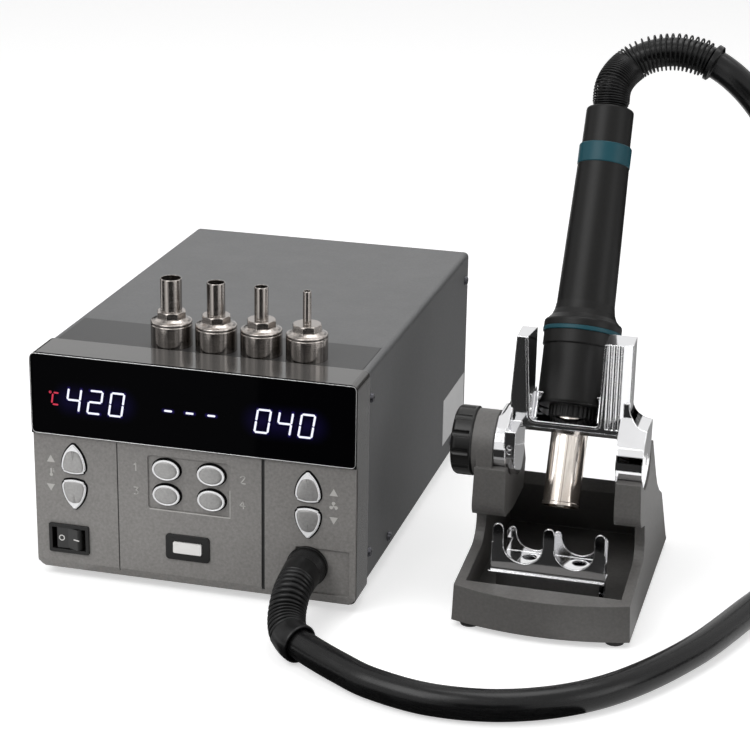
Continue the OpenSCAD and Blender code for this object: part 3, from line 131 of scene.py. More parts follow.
def placed(points):
    """Millimetres of the source to metres of the frame: subtract the middle and divide by 1000."""
    return (np.asarray(points, float) - (MID_X, MID_Y, 0.0)) / MM


def ease(t):
    """A smooth rise from 0 at t = 0 to 1 at t = 1: 3t² - 2t³."""
    t = np.clip(t, 0.0, 1.0)
    return t * t * (3.0 - 2.0 * t)


def unit(v):
    """Vectors divided by their lengths."""
    return v / np.linalg.norm(v, axis=-1, keepdims=True)


def turned(angle):
    """The matrix of a turn by an angle: [cos, -sin], [sin, cos]."""
    return np.array([[math.cos(angle), -math.sin(angle)], [math.sin(angle), math.cos(angle)]])


def route_at(route, u):
    """Catmull-Rom spline: a cubic between points i and i + 1, where u counts the points."""
    last = len(route) - 1
    i = np.clip(np.floor(u).astype(int), 0, last - 1)
    t = (u - i)[:, None]
    p0, p1, p2, p3 = (route[np.clip(i + k, 0, last)] for k in (-1, 0, 1, 2))
    return 0.5 * (2 * p1 + (p2 - p0) * t + (2 * p0 - 5 * p1 + 4 * p2 - p3) * t**2
                  + (3 * p1 - p0 - 3 * p2 + p3) * t**3)


def route_frames(route, u, ref, reach=0.02):
    """Points on the route with their direction, forward, taken from reach ahead and behind, and two
    crossways directions: forward x ref, and that x forward."""
    last = len(route) - 1
    ahead = route_at(route, np.minimum(u + reach, last))
    behind = route_at(route, np.maximum(u - reach, 0))
    forward = unit(ahead - behind)
    side = unit(np.cross(forward, ref))
    return route_at(route, u), forward, side, np.cross(side, forward)


def run_along(points):
    """How far each point lies along the line through the points."""
    step = np.linalg.norm(np.diff(points, axis=0), axis=1)
    return np.concatenate([[0.0], np.cumsum(step)])


def spokes(first, second, sides):
    """Directions round a circle between two crossways ones: cos(a) first + sin(a) second."""
    a = np.linspace(0, 2 * math.pi, sides, endpoint=False)
    return (np.cos(a)[None, :, None] * first[:, None]
            + np.sin(a)[None, :, None] * second[:, None])


def at_depth(x_z, depth):
    """Points from x and z, with y at one depth or at depths that are spread over them."""
    y = np.broadcast_to(depth, x_z.shape[:-1])[..., None]
    return np.concatenate([x_z[..., :1], y, x_z[..., 1:]], -1)


def new_object(name, points, faces):
    """A mesh object in the scene, from points in metres."""
    mesh = bpy.data.meshes.new(name)
    mesh.from_pydata(points.tolist(), [], faces)
    made = bpy.data.objects.new(name, mesh)
    bpy.context.scene.collection.objects.link(made)
    return made


def mesh_piece(name, points, faces, uv=None, smooth=True):
    """A mesh object from points in the source's millimetres; uv has one pair for each corner."""
    made = new_object(name, placed(points), faces)
    mesh = made.data
    if uv is not None:
        layer = mesh.uv_layers.new(name="surface")
        layer.data.foreach_set("uv", np.asarray(uv, np.float32).ravel())
    mesh.update()
    mesh.polygons.foreach_set("use_smooth", [smooth] * len(mesh.polygons))
    return made


def inside_out(points, quads):
    """Whether the surface that the quads make has a negative volume: the sum of p0 . (p1 x p2) and
    p0 . (p2 x p3)."""
    p = points[quads]
    volume = np.einsum("ij,ij->i", p[:, 0], np.cross(p[:, 1], p[:, 2])).sum()
    volume += np.einsum("ij,ij->i", p[:, 0], np.cross(p[:, 2], p[:, 3])).sum()
    return volume <= 0


def ring_surface(name, rings, wrap_rings=False):
    """A surface through rings[i, k], closed round k. It is closed along i too, or has flat ends.
    Its map runs from 0 to 1 round k, and along i it counts metres."""
    count, sides = rings.shape[:2]
    points = rings.reshape(-1, 3)
    spans = count if wrap_rings else count - 1
    i, k = np.meshgrid(np.arange(spans), np.arange(sides), indexing="ij")
    j, m = (i + 1) % count, (k + 1) % sides
    quads = np.stack([i * sides + k, j * sides + k, j * sides + m, i * sides + m], -1)
    quads = quads.reshape(-1, 4)
    run = run_along(rings.mean(1)) / MM
    corners = np.stack([
        np.stack([k / sides, run[i]], -1), np.stack([k / sides, run[j]], -1),
        np.stack([(k + 1) / sides, run[j]], -1), np.stack([(k + 1) / sides, run[i]], -1),
    ], 2).reshape(-1, 4, 2)
    ends = [list(range(sides)), list(range((count - 1) * sides, count * sides))[::-1]]
    if inside_out(points - points.mean(0), quads):
        quads, corners = quads[:, ::-1], corners[:, ::-1]
        ends = [end[::-1] for end in ends]
    faces, uv = quads.tolist(), corners.reshape(-1, 2)
    if not wrap_rings:
        faces += ends
        uv = np.concatenate([uv, np.zeros((2 * sides, 2))])
    return mesh_piece(name, points, faces, uv)


def swept(name, route, ref, u, radii, sides, wrap_rings=False):
    """A tube: at each u of the route a circle of its radius, crossways to the route. Where u comes
    back to its start with other radii and the rings are wrapped, the tube is a closed wall."""
    at, _, side, up = route_frames(route, u, ref)
    rings = at[:, None] + radii[:, None, None] * spokes(side, up, sides)
    return ring_surface(name, rings, wrap_rings)


def helix_wire(name, route, ref, u0, u1, pitch, coil_r, wire_r, steps=22, sides=7):
    """A wire wound round the route: its centre is coil_r(f) from it at the share f of its length,
    and it has turned once for each pitch(f) that it has gone along the route."""
    u = np.linspace(u0, u1, 2000)
    run = run_along(route_at(route, u))
    share = run / run[-1]
    wound = np.concatenate([[0.0], np.cumsum(np.diff(run) / pitch(share[1:]))])
    turn = np.linspace(0, wound[-1], int(wound[-1] * steps))
    f = np.interp(turn, wound, share)
    at, _, side, up = route_frames(route, np.interp(turn, wound, u), ref)
    a = (2 * math.pi * turn)[:, None]
    out = np.cos(a) * side + np.sin(a) * up
    centre = at + coil_r(f)[:, None] * out
    across = unit(np.cross(unit(np.gradient(centre, axis=0)), out))
    return ring_surface(name, centre[:, None] + wire_r * spokes(out, across, sides))


def bead(name, outline, y, radius, sides=10):
    """A round bead along a closed outline in x and z: at each point, radius cos(a) outwards from
    the outline and y + radius sin(a) deep."""
    outline = np.asarray(outline, float)
    tangent = unit(np.roll(outline, -1, 0) - np.roll(outline, 1, 0))
    out = np.stack([tangent[:, 1], -tangent[:, 0]], -1)
    a = np.linspace(0, 2 * math.pi, sides, endpoint=False)
    x_z = outline[:, None] + radius * np.cos(a)[None, :, None] * out[:, None]
    return ring_surface(name, at_depth(x_z, y + radius * np.sin(a)), wrap_rings=True)


def dome(name, outline, y, rise, rings=7):
    """A crowned plate: the outline drawn in towards its middle by the share s, each ring
    rise sqrt(1 - s²) nearer than y."""
    outline = np.asarray(outline, float)
    middle = outline.mean(0)
    shrink = np.cos(np.linspace(0, 0.5 * math.pi * 0.96, rings))
    x_z = middle + shrink[:, None, None] * (outline - middle)
    return ring_surface(name, at_depth(x_z, (y - rise * np.sqrt(1.0 - shrink**2))[:, None]))


def plates(name, outlines, y, thick):
    """Flat plates with the given outlines in x and z, from y back by thick."""
    points, faces, base = [], [], 0
    for outline in outlines:
        outline = np.asarray(outline, float)
        n = len(outline)
        x, z = outline.T
        if np.sum(x * np.roll(z, -1) - np.roll(x, -1) * z) < 0:
            outline = outline[::-1]
        points += [at_depth(outline, y), at_depth(outline, y + thick)]
        front, back = list(range(base, base + n)), list(range(base + n, base + 2 * n))
        faces += [front, back[::-1]]
        faces += [[front[i], back[i], back[(i + 1) % n], front[(i + 1) % n]] for i in range(n)]
        base += 2 * n
    return mesh_piece(name, np.concatenate(points), faces, smooth=False)


def arc(centre, radius, start, end, count):
    """Points of a circle's arc from start to end degrees, in x and z."""
    a = np.radians(np.linspace(start, end, count))
    return np.asarray(centre) + radius * np.stack([np.cos(a), np.sin(a)], -1)


def round_rect(low, high, r, count=8):
    """A rectangle's outline with round corners, in x and z."""
    (x0, z0), (x1, z1) = low, high
    return np.concatenate([
        arc((x1 - r, z1 - r), r, 0, 90, count), arc((x0 + r, z1 - r), r, 90, 180, count),
        arc((x0 + r, z0 + r), r, 180, 270, count), arc((x1 - r, z0 + r), r, 270, 360, count),
    ])


def ring_outline(outer, inner, end, count):
    """The outline of a flat ring with a narrow cut: out along one circle and back on the other."""
    return np.concatenate([arc((0, 0), outer, 0, end, count), arc((0, 0), inner, end, 0, count)])


def stroke_axes(stroke):
    """The two ends of a stroke, its direction, and the direction across it, in x and z."""
    p, q = np.array(stroke[:2]), np.array(stroke[2:])
    along = unit(q - p)
    return p, q, along, np.array([-along[1], along[0]])


def pick_outline(grow, x, up):
    """The outline of a rounded triangular key from four arcs a side, as in the source."""
    tip_r, low_r, bow = 1.9, 1.6, 17.5
    tip = np.array([0, PICK_H - tip_r])
    low = np.array([PICK_W / 2 - low_r - 0.3, low_r + 1.9])
    chord = low - tip
    half = np.linalg.norm(chord) / 2
    reach = math.sqrt((bow - (tip_r + low_r) / 2) ** 2 - half * half)
    side = (tip + low) / 2 + unit(np.array([chord[1], -chord[0]])) * reach
    a0 = math.degrees(math.atan2(*(tip - side)[::-1]))
    a1 = math.degrees(math.atan2(*(low - side)[::-1]))
    a2 = -90 + math.degrees(math.asin(low[0] / (bow - low_r)))
    half_side = np.concatenate([
        arc(tip, tip_r + grow, 90, a0, 8)[:-1], arc(side, bow + grow, a0, a1, 18)[:-1],
        arc(low, low_r + grow, a1, a2, 10)[:-1], arc((0, bow), bow + grow, a2, -90, 8),
    ])
    whole = np.concatenate([half_side, half_side[-2:0:-1] * (-1, 1)]) + (0, PICK_GAP / 2)
    return whole * (1, up) + (x, KEY_MID_Z)


# Shader nodes

def rgba(colour):
    """A colour with full alpha."""
    return tuple(colour)[:3] + (1.0,)


def toned(colour, gain, lift=0.0):
    """A colour scaled by gain and raised by lift, at most 1."""
    return tuple(min(1.0, c * gain + lift) for c in tuple(colour)[:3])


def feed(tree, socket, value):
    """Links another node's socket to an input, or sets the input to a value."""
    if isinstance(value, bpy.types.NodeSocket):
        tree.links.new(value, socket)
    else:
        socket.default_value = rgba(value) if socket.type == "RGBA" else value


def node(tree, kind, **values):
    """A new node. Each value goes to the input of its name, where _ stands for a space, and to the
    node's attribute if no input has that name."""
    made = tree.nodes.new(kind)
    for key, value in values.items():
        socket = made.inputs.get(key.replace("_", " "))
        if socket is None:
            setattr(made, key, value)
        else:
            feed(tree, socket, value)
    return made


def math_node(tree, operation, *values, clamp=False):
    """The output of a Math node fed by sockets or numbers."""
    made = node(tree, "ShaderNodeMath", operation=operation, use_clamp=clamp)
    for socket, value in zip(made.inputs, values):
        feed(tree, socket, value)
    return made.outputs[0]


def vector_math(tree, operation, a, b):
    """A Vector Math node fed by a vector and by another, or by a number if it scales."""
    made = node(tree, "ShaderNodeVectorMath", operation=operation)
    feed(tree, made.inputs[0], a)
    feed(tree, made.inputs["Scale" if operation == "SCALE" else 1], b)
    return made


def mix_colour(tree, factor, a, b):
    """The output of a colour Mix node: a at 0 and b at 1."""
    made = node(tree, "ShaderNodeMix", data_type="RGBA")
    for place, value in ((0, factor), (6, a), (7, b)):
        feed(tree, made.inputs[place], value)
    return made.outputs[2]


def ramp(tree, source, low, high):
    """A straight rise from 0 at low to 1 at high, held between 0 and 1."""
    made = node(tree, "ShaderNodeMapRange", Value=source, From_Min=low, From_Max=high)
    return made.outputs["Result"]


def noise(tree, vector, scale, detail, roughness):
    """The height of a Noise texture."""
    return node(tree, "ShaderNodeTexNoise", Vector=vector, Scale=scale, Detail=detail,
                Roughness=roughness).outputs["Fac"]


def axis_of(tree, vector, axis):
    """One number of a vector."""
    return node(tree, "ShaderNodeSeparateXYZ", Vector=vector).outputs[axis]


def face_normal(tree):
    """The surface's own normal."""
    return node(tree, "ShaderNodeNewGeometry").outputs["Normal"]


def rounded_normal(tree, radius):
    """The normal with edges rounded off by a radius."""
    return node(tree, "ShaderNodeBevel", samples=4, Radius=radius).outputs[0]


def seen_directly(tree):
    """1 to the camera, in reflections and through glass, and 0 to light that falls elsewhere."""
    path = node(tree, "ShaderNodeLightPath").outputs
    seen = math_node(tree, "MAXIMUM", path["Is Camera Ray"], path["Is Glossy Ray"])
    return math_node(tree, "MAXIMUM", seen, path["Is Transmission Ray"])


# Node groups for effects that several finishes share

def tone_drift(tree, given):
    """Colour that drifts lighter and darker in soft patches, as paint and moulding do."""
    patches = noise(tree, given["Vector"], given["Scale"], 5.0, 0.6)
    swing = math_node(tree, "SUBTRACT", patches, 0.5)
    swing = math_node(tree, "MULTIPLY", swing, given["Amount"])
    gain = math_node(tree, "MULTIPLY_ADD", swing, 2.0, 1.0)
    return vector_math(tree, "SCALE", given["Colour"], gain).outputs[0]


def fine_grain(tree, given):
    """Height of a fine pebbled surface: a tight noise with a wider one under it."""
    fine = noise(tree, given["Vector"], given["Scale"], 3.0, 0.55)
    wide_scale = math_node(tree, "MULTIPLY", given["Scale"], 0.31)
    wide = noise(tree, given["Vector"], wide_scale, 2.0, 0.5)
    total = math_node(tree, "MULTIPLY_ADD", wide, 0.5, fine)
    return math_node(tree, "MULTIPLY", total, 0.66)


def edge_wear(tree, given):
    """Mask of outer edges: where the rounded normal leaves the face's own, broken by noise."""
    rounded = rounded_normal(tree, given["Radius"])
    dot = vector_math(tree, "DOT_PRODUCT", rounded, face_normal(tree)).outputs["Value"]
    edge = ramp(tree, math_node(tree, "SUBTRACT", 1.0, dot), 0.015, 0.16)
    breaks = ramp(tree, noise(tree, given["Vector"], 260.0, 4.0, 0.65), 0.38, 0.62)
    broken = math_node(tree, "MULTIPLY", edge, breaks)
    return math_node(tree, "MULTIPLY", broken, given["Amount"])


def settled_dust(tree, given):
    """Mask of settled dust: faces that look up, in soft patches with fine specks."""
    up = ramp(tree, axis_of(tree, face_normal(tree), "Z"), 0.3, 1.0)
    patches = ramp(tree, noise(tree, given["Vector"], 45.0, 8.0, 0.75), 0.42, 0.72)
    total = math_node(tree, "MULTIPLY", up, patches)
    return math_node(tree, "MULTIPLY", total, given["Amount"])


def brushed_lines(tree, given):
    """Height of fine lines that run one way: noise drawn out by the Stretch vector."""
    drawn = vector_math(tree, "MULTIPLY", given["Vector"], given["Stretch"]).outputs[0]
    return noise(tree, drawn, given["Scale"], 4.0, 0.6)


# For each group its maker, its output, and its inputs beside Vector
GROUPS = {
    "tone_drift": (tone_drift, ("Colour", "Color"), (
        ("Colour", "Color", (0.5, 0.5, 0.5, 1)), ("Scale", "Float", 30.0),
        ("Amount", "Float", 0.15))),
    "fine_grain": (fine_grain, ("Height", "Float"), (("Scale", "Float", 1500.0),)),
    "edge_wear": (edge_wear, ("Mask", "Float"), (
        ("Radius", "Float", 0.0006), ("Amount", "Float", 0.6))),
    "settled_dust": (settled_dust, ("Mask", "Float"), (("Amount", "Float", 0.3),)),
    "brushed_lines": (brushed_lines, ("Height", "Float"), (
        ("Stretch", "Vector", (1.0, 1.0, 1.0)), ("Scale", "Float", 400.0))),
}


def make_group(name):
    """Builds a shared node group with its named sockets."""
    build, (result, result_kind), inputs = GROUPS[name]
    group = bpy.data.node_groups.new(name, "ShaderNodeTree")
    sockets = group.interface
    sockets.new_socket("Vector", in_out="INPUT", socket_type="NodeSocketVector")
    for label, kind, default in inputs:
        socket = sockets.new_socket(label, in_out="INPUT", socket_type="NodeSocket" + kind)
        socket.default_value = default
    sockets.new_socket(result, in_out="OUTPUT", socket_type="NodeSocket" + result_kind)
    head, tail = group.nodes.new("NodeGroupInput"), group.nodes.new("NodeGroupOutput")
    feed(group, tail.inputs[result], build(group, head.outputs))
    return group


def shared(tree, name, vector, **values):
    """The output of a shared group, which is made the first time it is asked for."""
    made = tree.nodes.new("ShaderNodeGroup")
    made.node_tree = bpy.data.node_groups.get(name) or make_group(name)
    for key, value in {"Vector": vector, **values}.items():
        feed(tree, made.inputs[key], value)
    return made.outputs[0]


# Finishes

BLACK = (0.0, 0.0, 0.0)
GLASS_BLACK = (0.0012, 0.0012, 0.0016)
DUST = (0.42, 0.41, 0.39)


def finish_base(name, colour, roughness, metallic=0.0, **sockets):
    """A material with its Principled shader and Object coordinates ready for more nodes."""
    material = bpy.data.materials.new(name)
    material.use_nodes = True
    tree = material.node_tree
    shader = tree.nodes["Principled BSDF"]
    values = {"Base Color": colour, "Roughness": roughness, "Metallic": metallic, **sockets}
    for key, value in values.items():
        feed(tree, shader.inputs[key.replace("_", " ")], value)
    return material, tree, shader, node(tree, "ShaderNodeTexCoord").outputs["Object"]


def reopened(material):
    """A finish's tree, shader, Object coordinates and the socket that feeds its colour."""
    tree = material.node_tree
    shader = tree.nodes["Principled BSDF"]
    where = next(n for n in tree.nodes if n.type == "TEX_COORD").outputs["Object"]
    return tree, shader, where, shader.inputs["Base Color"].links[0].from_socket


def add_bump(tree, shader, height, depth, edge=None):
    """Feeds the shader's Normal from a height and from edges rounded off, both in metres."""
    bump = node(tree, "ShaderNodeBump", Strength=1.0, Distance=depth, Height=height)
    if edge is not None:
        feed(tree, bump.inputs["Normal"], rounded_normal(tree, edge))
    feed(tree, shader.inputs["Normal"], bump.outputs[0])


def spread_gloss(tree, shader, height, roughness, spread):
    """Roughness that a height shifts by half of spread to either side."""
    value = math_node(tree, "MULTIPLY_ADD", height, spread, roughness - spread / 2)
    feed(tree, shader.inputs["Roughness"], value)


def painted(name, colour, roughness, grain=1100.0, depth=0.00006, wear=0.25, drift=0.12, dust=0.0,
            metallic=0.0, edge=0.0005, fleck=0.0, **sockets):
    """Paint or moulded plastic: drifting tone, flecks, grain, rubbed edges and a little dust."""
    material, tree, shader, where = finish_base(name, colour, roughness, metallic, **sockets)
    shade = shared(tree, "tone_drift", where, Colour=colour, Scale=22.0, Amount=drift)
    if fleck:
        shade = shared(tree, "tone_drift", where, Colour=shade, Scale=620.0, Amount=fleck)
    if wear:
        rubbed = shared(tree, "edge_wear", where, Radius=edge, Amount=wear)
        shade = mix_colour(tree, rubbed, shade, toned(colour, 1.9, 0.05))
    if dust:
        film = shared(tree, "settled_dust", where, Amount=dust)
        shade = mix_colour(tree, film, shade, DUST)
    feed(tree, shader.inputs["Base Color"], shade)
    pebble = shared(tree, "fine_grain", where, Scale=grain)
    spread_gloss(tree, shader, pebble, roughness, 0.12)
    add_bump(tree, shader, pebble, depth, edge)
    return material


def brushed_metal(name, colour, roughness, stretch, scale=500.0, depth=0.00002, drift=0.1,
                  edge=0.0003):
    """Bare metal with fine lines that run one way, which also vary how sharply it shines."""
    material, tree, shader, where = finish_base(name, colour, roughness, 1.0)
    shade = shared(tree, "tone_drift", where, Colour=colour, Scale=60.0, Amount=drift)
    feed(tree, shader.inputs["Base Color"], shade)
    lines = shared(tree, "brushed_lines", where, Scale=scale, Stretch=stretch)
    gloss = math_node(tree, "MULTIPLY_ADD", lines, 0.22, roughness - 0.11, clamp=True)
    feed(tree, shader.inputs["Roughness"], gloss)
    add_bump(tree, shader, lines, depth, edge)
    return material


def key_body_finish():
    """A key's own surface: bright on its front, with painted shade that makes its sides, which
    stand in the gap, black.
    """
    material = painted("key_body_with_painted_side_shade", (0.95, 0.95, 0.96), 0.25, grain=1400.0, depth=0.00001,
                       wear=0.0, drift=0.04, edge=0.0001)
    tree, shader, _, front = reopened(material)
    # Painted shade: faces that do not look forward are black.
    side = ramp(tree, axis_of(tree, face_normal(tree), "Y"), -0.8, -0.4)
    shade = mix_colour(tree, side, front, (0.008, 0.008, 0.008))
    feed(tree, shader.inputs["Base Color"], shade)
    return material


def turned_steel(colour):
    """Turned stainless with painted reflections: upright streaks, brighter and browner by turns, as
    its faces turn.
    """
    material = brushed_metal("turned_stainless_painted_reflections", colour, 0.22, (0.05, 0.05, 1.0), scale=900.0,
                             depth=0.00004, drift=0.16, edge=0.0005)
    tree, shader, _, bright = reopened(material)
    # Painted reflection: streaks that follow which way the face points, darkening the steel to 0.3
    # of its colour.
    level = vector_math(tree, "MULTIPLY", face_normal(tree), (1.0, 1.0, 0.3)).outputs[0]
    painted_reflection_streak = ramp(tree, noise(tree, level, 2.8, 3.0, 0.6), 0.4, 0.6)
    shade = mix_colour(tree, painted_reflection_streak, toned(colour, 0.3), bright)
    feed(tree, shader.inputs["Base Color"], shade)
    return material


def panel_finish(colour):
    """The flecked satin panel, with painted shade that darkens it a little towards the window."""
    material = painted("panel_satin_and_painted_shade", colour, 0.42, grain=2600.0, depth=0.00001, wear=0.35,
                       drift=0.1, fleck=0.4)
    tree, shader, where, satin = reopened(material)
    # Painted shade: up to 18 % darker from 0.055 m to 0.092 m up, towards the window.
    high = ramp(tree, axis_of(tree, where, "Z"), 0.055, 0.092)
    shade = mix_colour(tree, math_node(tree, "MULTIPLY", high, 0.18), satin, BLACK)
    feed(tree, shader.inputs["Base Color"], shade)
    return material


def bezel_finish(colour):
    """The satin grey front moulding, whose proud frame round the window is gloss black."""
    specular, coat = 0.35, 0.25
    material = painted("bezel_moulding", toned(colour, 0.27), 0.15, grain=2400.0,
                       depth=0.000003, wear=0.3, drift=0.06, Specular_IOR_Level=specular,
                       Coat_Weight=coat, Coat_Roughness=0.08)
    tree, shader, where, satin = reopened(material)
    edge = placed([0, FRAME_FRONT_Y, 0])[1]
    front = math_node(tree, "LESS_THAN", axis_of(tree, where, "Y"), edge)
    shade = mix_colour(tree, front, satin, (0.0012, 0.0012, 0.0014))
    feed(tree, shader.inputs["Base Color"], shade)
    feed(tree, shader.inputs["Specular IOR Level"],
         math_node(tree, "MULTIPLY_ADD", front, -0.34, specular))
    feed(tree, shader.inputs["Coat Weight"], math_node(tree, "MULTIPLY_ADD", front, -coat, coat))
    return material


def heat_tube_finish(colour):
    """Warm steel with lengthways streaks, straw heat tints near the lip and a weld seam."""
    material, tree, shader, where = finish_base("heated_steel", colour, 0.2, 1.0)
    axis = Vector((0.0, math.sin(LEAN), math.cos(LEAN)))
    lip = Vector(placed([STAND_X, LIP_Y, LIP_Z]))
    along = vector_math(tree, "DOT_PRODUCT", where, axis).outputs["Value"]
    height = math_node(tree, "SUBTRACT", along, lip.dot(axis))
    tint = node(tree, "ShaderNodeValToRGB")
    stops = tint.color_ramp.elements
    stops[0].color = (0.5, 0.45, 0.41, 1)
    stops[1].position = 1.0
    stops[1].color = rgba(colour)
    for place, shade in ((0.1, (0.6, 0.53, 0.47, 1)), (0.35, (0.76, 0.7, 0.64, 1))):
        stops.new(place).color = shade
    feed(tree, tint.inputs[0], ramp(tree, height, 0.0, 0.05))
    streaks = shared(tree, "brushed_lines", where, Scale=700.0, Stretch=(1.0, 0.25, 0.04))
    shade = mix_colour(tree, ramp(tree, streaks, 0.35, 0.75), tint.outputs[0],
                       (0.62, 0.57, 0.52))
    off = math_node(tree, "SUBTRACT", axis_of(tree, where, "X"), lip.x + 0.0012)
    off = math_node(tree, "ABSOLUTE", off)
    seam = math_node(tree, "SUBTRACT", 1.0, ramp(tree, off, 0.0, 0.0004))
    shade = mix_colour(tree, math_node(tree, "MULTIPLY", seam, 0.6), shade, (0.16, 0.12, 0.1))
    feed(tree, shader.inputs["Base Color"], shade)
    feed(tree, shader.inputs["Roughness"], math_node(tree, "MULTIPLY_ADD", streaks, 0.2, 0.08))
    add_bump(tree, shader, streaks, 0.00001)
    return material


def hose_finish(name, colour, roughness):
    """Satin black hose on its own surface map: long faint streaks and rubbed patches."""
    material, tree, shader, where = finish_base(name, colour, roughness, Specular_IOR_Level=0.27)
    drawn = vector_math(tree, "MULTIPLY", where.node.outputs["UV"], (6.0, 18.0, 1.0)).outputs[0]
    rub = ramp(tree, noise(tree, drawn, 3.0, 6.0, 0.7), 0.45, 0.8)
    half = math_node(tree, "MULTIPLY", rub, 0.5)
    shade = mix_colour(tree, half, colour, toned(colour, 2.2, 0.004))
    feed(tree, shader.inputs["Base Color"], shade)
    feed(tree, shader.inputs["Roughness"], math_node(tree, "MULTIPLY_ADD", rub, 0.16, roughness))
    add_bump(tree, shader, shared(tree, "fine_grain", where, Scale=900.0), 0.00003)
    return material


def glass_finish():
    """The black window, faintly smeared."""
    material, tree, shader, where = finish_base("window_glass", GLASS_BLACK, 0.05,
                                                Specular_IOR_Level=0.01)
    smear = ramp(tree, noise(tree, where, 38.0, 6.0, 0.7), 0.45, 0.8)
    feed(tree, shader.inputs["Roughness"], math_node(tree, "MULTIPLY_ADD", smear, 0.06, 0.04))
    return material


def lit_finish(name, colour, strength):
    """A lit segment, which glows at its own colour over a black ground."""
    material, tree, shader, where = finish_base(name, (0.004, 0.004, 0.005), 0.5,
                                                Emission_Strength=strength)
    tone = shared(tree, "tone_drift", where, Colour=colour, Scale=900.0, Amount=0.08)
    feed(tree, shader.inputs["Emission Color"], tone)
    return material


def glow_finish(name, colour):
    """The dim spill round a lit segment, which fades out across the plate's own surface map."""
    material, tree, shader, where = finish_base(name, GLASS_BLACK, 0.06, Specular_IOR_Level=0.01,
                                                Emission_Strength=1.0)
    outwards = axis_of(tree, where.node.outputs["UV"], "X")
    fade = math_node(tree, "SUBTRACT", 1.0, outwards, clamp=True)
    shade = mix_colour(tree, math_node(tree, "POWER", fade, 1.6), BLACK, colour)
    feed(tree, shader.inputs["Emission Color"], shade)
    return material


def give(material, *names):
    """Puts a finish on CAD nodes, in place of what they had."""
    for name in names:
        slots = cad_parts[name].data.materials
        slots.clear()
        slots.append(material)


def attach(piece, body, material):
    """A new piece rides on a body and gets its finish."""
    piece.data.materials.append(material)
    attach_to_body(piece, body)


# Values that a user would change

def colour_value(label, text, default):
    """A colour property."""
    return bpy.props.FloatVectorProperty(name=label, description=text, subtype="COLOR", size=3,
                                         min=0.0, max=1.0, default=default)


def length_value(label, text, default, low, high):
    """A length property in metres."""
    return bpy.props.FloatProperty(name=label, description=text, subtype="DISTANCE",
                                   default=default, min=low, max=high)


class ReworkColours(bpy.types.PropertyGroup):
    panel: colour_value("Panel", "Front moulding and front panel", (0.235, 0.226, 0.217))
    case: colour_value("Case", "Sheet steel cover and rear panel", (0.1, 0.101, 0.103))
    stand: colour_value("Stand", "Cast stand", (0.1, 0.096, 0.092))
    plastic: colour_value("Black plastic", "Handle, knob and switch", (0.0055, 0.0053, 0.0051))
    band: colour_value("Bands", "Coloured bands on the handle", (0.006, 0.06, 0.08))
    hose: colour_value("Hose", "Hose, its ribbed sleeve and its spring", (0.004, 0.004, 0.0042))
    stainless: colour_value("Nozzles", "Stainless nozzles", (0.5, 0.46, 0.43))
    chrome: colour_value("Chrome", "Cradle and nozzle rack", (0.78, 0.78, 0.79))
    tube: colour_value("Heat tube", "Bare steel tube", (0.86, 0.81, 0.76))
    digits: colour_value("Digits", "Lit digits", (0.88, 0.9, 1.0))


class ReworkHose(bpy.types.PropertyGroup):
    diameter: length_value("Diameter", "Outer diameter of the hose", 0.0165, 0.014, 0.017)
    ribs: bpy.props.IntProperty(name="Ribs", description="Ribs on the sleeve at the case",
                                default=13, min=6, max=16)
    swell: length_value("Spring swell", "How far the spring's turns stand off", 0.0013, 0.0, 0.002)
    wire: length_value("Spring wire", "Diameter of the spring's wire", 0.0011, 0.0008, 0.0014)


class ReworkStage(bpy.types.PropertyGroup):
    key_power: bpy.props.FloatProperty(name="Key lamp", description="Power of the large soft lamp",
                                       default=20.0, min=0.0, max=100.0)
    sky: bpy.props.FloatProperty(name="Sky", description="Strength of the even light all round",
                                 default=0.36, min=0.0, max=2.0)
    floor: colour_value("Floor", "Pale floor", (0.8, 0.8, 0.8))


# Operators, one for each piece or group of like pieces

